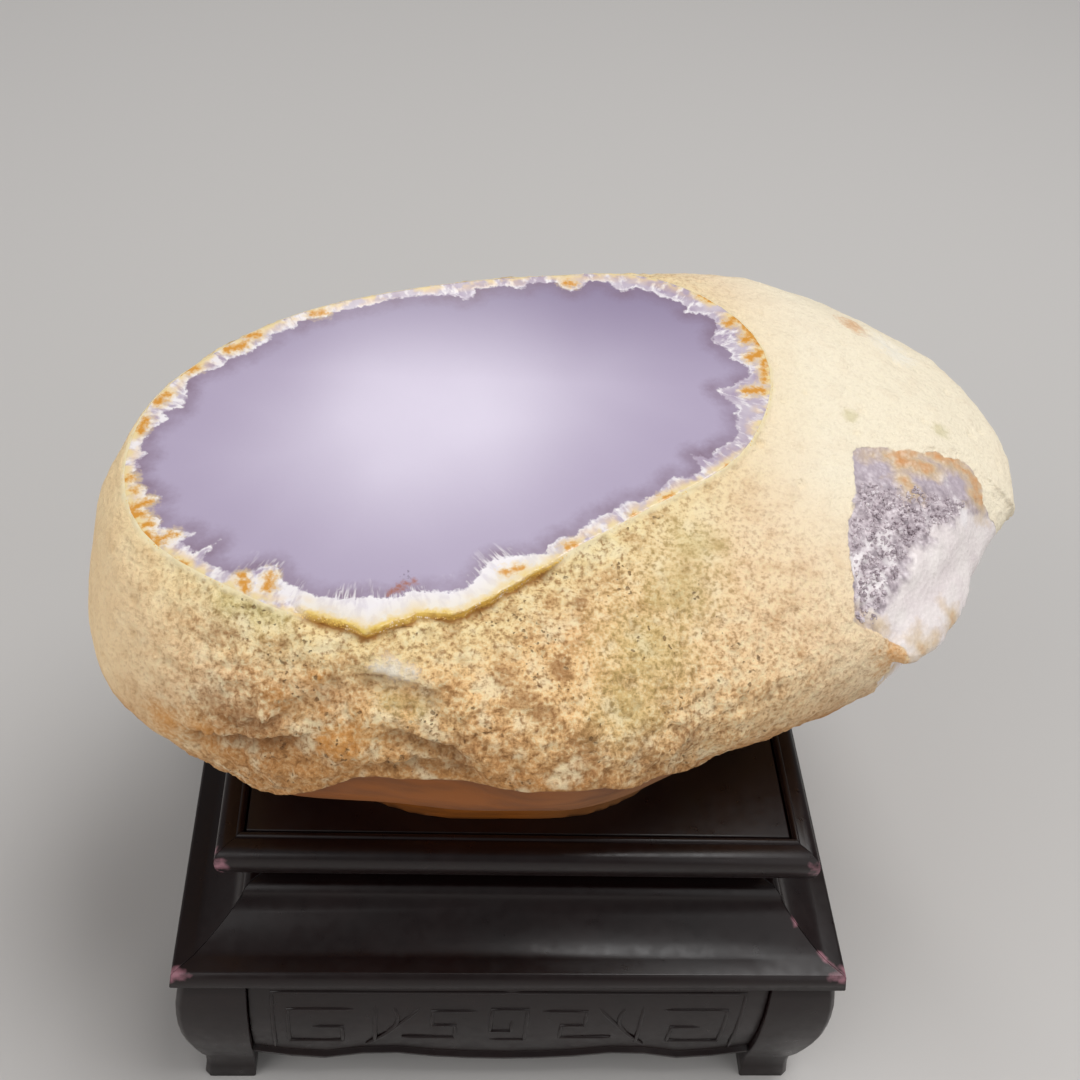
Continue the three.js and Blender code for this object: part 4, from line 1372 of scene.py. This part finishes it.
class STONE_OT_stand(bpy.types.Operator):
    """Dresses the stand's panel, mouldings, aprons and legs with rounded edges and lacquer"""

    bl_idname = "stone.stand"
    bl_label = "Stand"

    def execute(self, context):
        lacquer = lacquer_material()
        parts = ["top_panel"]
        for kind in MITRED:
            parts += [f"{kind}_{side}" for side in SIDES]
        parts += [f"leg_{corner}" for corner in CORNERS]
        for node in parts:
            piece = copy_of(node, f"lacquered_{node}")
            if node.startswith(MITRED):
                self.close_joints(piece)
            if node.startswith("shoulder"):
                self.fill_cove(piece)
            apply_modifier(
                piece, "BEVEL", width=context.scene.stand_settings.edge_round, segments=2,
                limit_method="ANGLE", angle_limit=math.radians(ROUNDED_TURN),
            )
            choose(piece)
            bpy.ops.object.shade_smooth_by_angle(angle=math.radians(SMOOTH_TURN))
            dress(piece, lacquer, "lacquered_wood", node)
        return {"FINISHED"}

    def close_joints(self, piece):
        """Lengthens a part so that its ends meet their neighbours."""
        points = points_of(piece.data)
        away = points[:, :2] - STAND_MIDDLE[:2]
        along = 0 if np.ptp(away[:, 0]) > np.ptp(away[:, 1]) else 1
        points[:, along] += END_GROWTH * np.sign(away[:, along])
        place_points(piece.data, points)

    def fill_cove(self, piece):
        """Fills the shoulder's cove out to a gentler slope."""
        points = points_of(piece.data)
        away = points - STAND_MIDDLE
        out = np.abs(away[:, :2]).max(axis=1)
        share = (COVE_TOP[1] - away[:, 2]) / (COVE_TOP[1] - COVE_FOOT[1])
        slope = COVE_TOP[0] + share * (COVE_FOOT[0] - COVE_TOP[0])
        hollow = (share > 0.01) & (share < 0.99) & (out < slope) & (out > COVE_TOP[0] - 0.3)
        fuller = out + COVE_FILL * (slope - out)
        points[hollow, :2] = (STAND_MIDDLE[:2] + away[:, :2] * (fuller / out)[:, None])[hollow]
        place_points(piece.data, points)


# The carving: strokes of one half of an apron, as places along the apron and heights above the
# floor. The other half mirrors them
FRET = [
    [(26, 25.5), (37, 25.5), (37, 14.5), (28, 14.5), (28, 20), (33, 20)],
    [(22.5, 13.5), (22.5, 26.5)],
    [(5.5, 25), (13, 25), (13, 20.5), (9, 20.5), (9, 16), (18, 16)],
]
LEAVES = [
    [(24, 12.5), (19, 20), (15, 26)],
    [(19.5, 26), (17.5, 22), (20.5, 18)],
]
FRAME_LINE = [(0, 30), (39.5, 30), (39.5, 11.5)]
MIDDLE_FRET = [(-3, 15), (3, 15), (3, 25.5), (-3, 25.5), (-3, 18.5), (0.5, 18.5), (0.5, 22)]

# How deep the strokes' middle lines lie in the apron's face, the step between a stroke's points, and the
# points of a curved stroke
STROKE_SINK = 0.15
STROKE_STEP = 1.5
CURVE_POINTS = 12


class STONE_OT_carving(bpy.types.Operator):
    """Carves the low fret and scroll strokes of the four aprons"""

    bl_idname = "stone.carving"
    bl_label = "Apron carving"

    def execute(self, context):
        lacquer = bpy.data.materials["lacquered hardwood"]
        profile = self.apron_profile()
        half = FRET + LEAVES + [FRAME_LINE]
        mirrored = [[(-along, height) for along, height in line] for line in half]
        lines = half + mirrored + [MIDDLE_FRET]
        smooth = LEAVES + mirrored[len(FRET):len(FRET) + len(LEAVES)]
        for i, side in enumerate(SIDES):
            strokes = [self.stroke(line, profile, line in smooth) for line in lines]
            deselect_all()
            for stroke in strokes:
                stroke.select_set(True)
            context.view_layer.objects.active = strokes[0]
            bpy.ops.object.convert(target="MESH")
            bpy.ops.object.join()
            piece = context.object
            piece.name = f"carving_{side}"
            piece.data.name = piece.name
            middle = Matrix.Translation(Vector(STAND_MIDDLE * MM))
            piece.data.transform(middle @ Matrix.Rotation(i * math.tau / 4, 4, "Z"))
            choose(piece)
            bpy.ops.object.shade_smooth_by_angle(angle=math.radians(50))
            dress(piece, lacquer, "lacquered_wood", f"apron_{side}")
        return {"FINISHED"}

    def apron_profile(self):
        """The apron's front face: heights from low to high, and how far out it is at each."""
        points = points_of(frame["nodes"]["apron_front"].data) - STAND_MIDDLE
        middle = points[np.abs(points[:, 0]) < 1]
        outer = middle[middle[:, 1] < middle[:, 1].mean()]
        outer = outer[np.argsort(outer[:, 2])]
        return outer[:, 2], -outer[:, 1]

    def stroke(self, line, profile, smooth):
        """One raised stroke that follows the apron's face."""
        curve = bpy.data.curves.new("stroke", "CURVE")
        curve.dimensions = "3D"
        curve.bevel_depth = bpy.context.scene.stand_settings.stroke_width / 2
        curve.bevel_resolution = 2
        curve.use_fill_caps = True
        line = self.finer(np.array(line, float), smooth)
        spline = curve.splines.new("POLY")
        spline.points.add(len(line) - 1)
        out = np.interp(line[:, 1], *profile) - STROKE_SINK
        for point, (along, height), reach in zip(spline.points, line, out):
            point.co = (along * MM, -reach * MM, height * MM, 1)
        spline.points[0].radius = spline.points[-1].radius = 0.5
        stroke = bpy.data.objects.new("stroke", curve)
        bpy.context.collection.objects.link(stroke)
        return stroke

    def finer(self, line, smooth):
        """The line with points at most a step apart, or one curve where it is smooth."""
        if smooth:
            start, middle, end = line
            share = np.linspace(0, 1, CURVE_POINTS)[:, None]
            return (1 - share) ** 2 * start + 2 * share * (1 - share) * middle + share ** 2 * end
        dense = [line[:1]]
        for start, end in zip(line[:-1], line[1:]):
            count = max(1, math.ceil(np.linalg.norm(end - start) / STROKE_STEP))
            dense.append(start + (end - start) * np.linspace(0, 1, count + 1)[1:, None])
        return np.concatenate(dense)


class STONE_PT_panel(bpy.types.Panel):
    """Builds the stone and its stand, step by step"""

    bl_idname = "STONE_PT_panel"
    bl_label = "Rough Chalcedony"
    bl_space_type = "VIEW_3D"
    bl_region_type = "UI"
    bl_category = "Chalcedony"

    def draw(self, context):
        layout = self.layout
        groups = (
            (context.scene.studio_settings, (STONE_OT_studio,)),
            (context.scene.nodule_settings, (STONE_OT_nodule, STONE_OT_druse, STONE_OT_fringe)),
            (context.scene.stand_settings, (STONE_OT_stand, STONE_OT_carving)),
        )
        for settings, operators in groups:
            box = layout.box()
            for name in type(settings).__annotations__:
                box.prop(settings, name)
            for operator in operators:
                box.operator(operator.bl_idname)


SETTINGS = (NoduleSettings, StandSettings, StudioSettings)
OPERATORS = (
    STONE_OT_studio, STONE_OT_nodule, STONE_OT_druse, STONE_OT_fringe, STONE_OT_stand,
    STONE_OT_carving,
)


def register():
    for item in (*SETTINGS, *OPERATORS, STONE_PT_panel):
        bpy.utils.register_class(item)
    bpy.types.Scene.nodule_settings = bpy.props.PointerProperty(type=NoduleSettings)
    bpy.types.Scene.stand_settings = bpy.props.PointerProperty(type=StandSettings)
    bpy.types.Scene.studio_settings = bpy.props.PointerProperty(type=StudioSettings)


def unregister():
    del bpy.types.Scene.studio_settings
    del bpy.types.Scene.stand_settings
    del bpy.types.Scene.nodule_settings
    for item in (STONE_PT_panel, *reversed(OPERATORS), *reversed(SETTINGS)):
        bpy.utils.unregister_class(item)


def main():
    register()
    bpy.ops.stone.studio()
    bpy.ops.stone.nodule()
    bpy.ops.stone.druse()
    bpy.ops.stone.fringe()
    bpy.ops.stone.stand()
    bpy.ops.stone.carving()


if __name__ == "__main__":
    main()
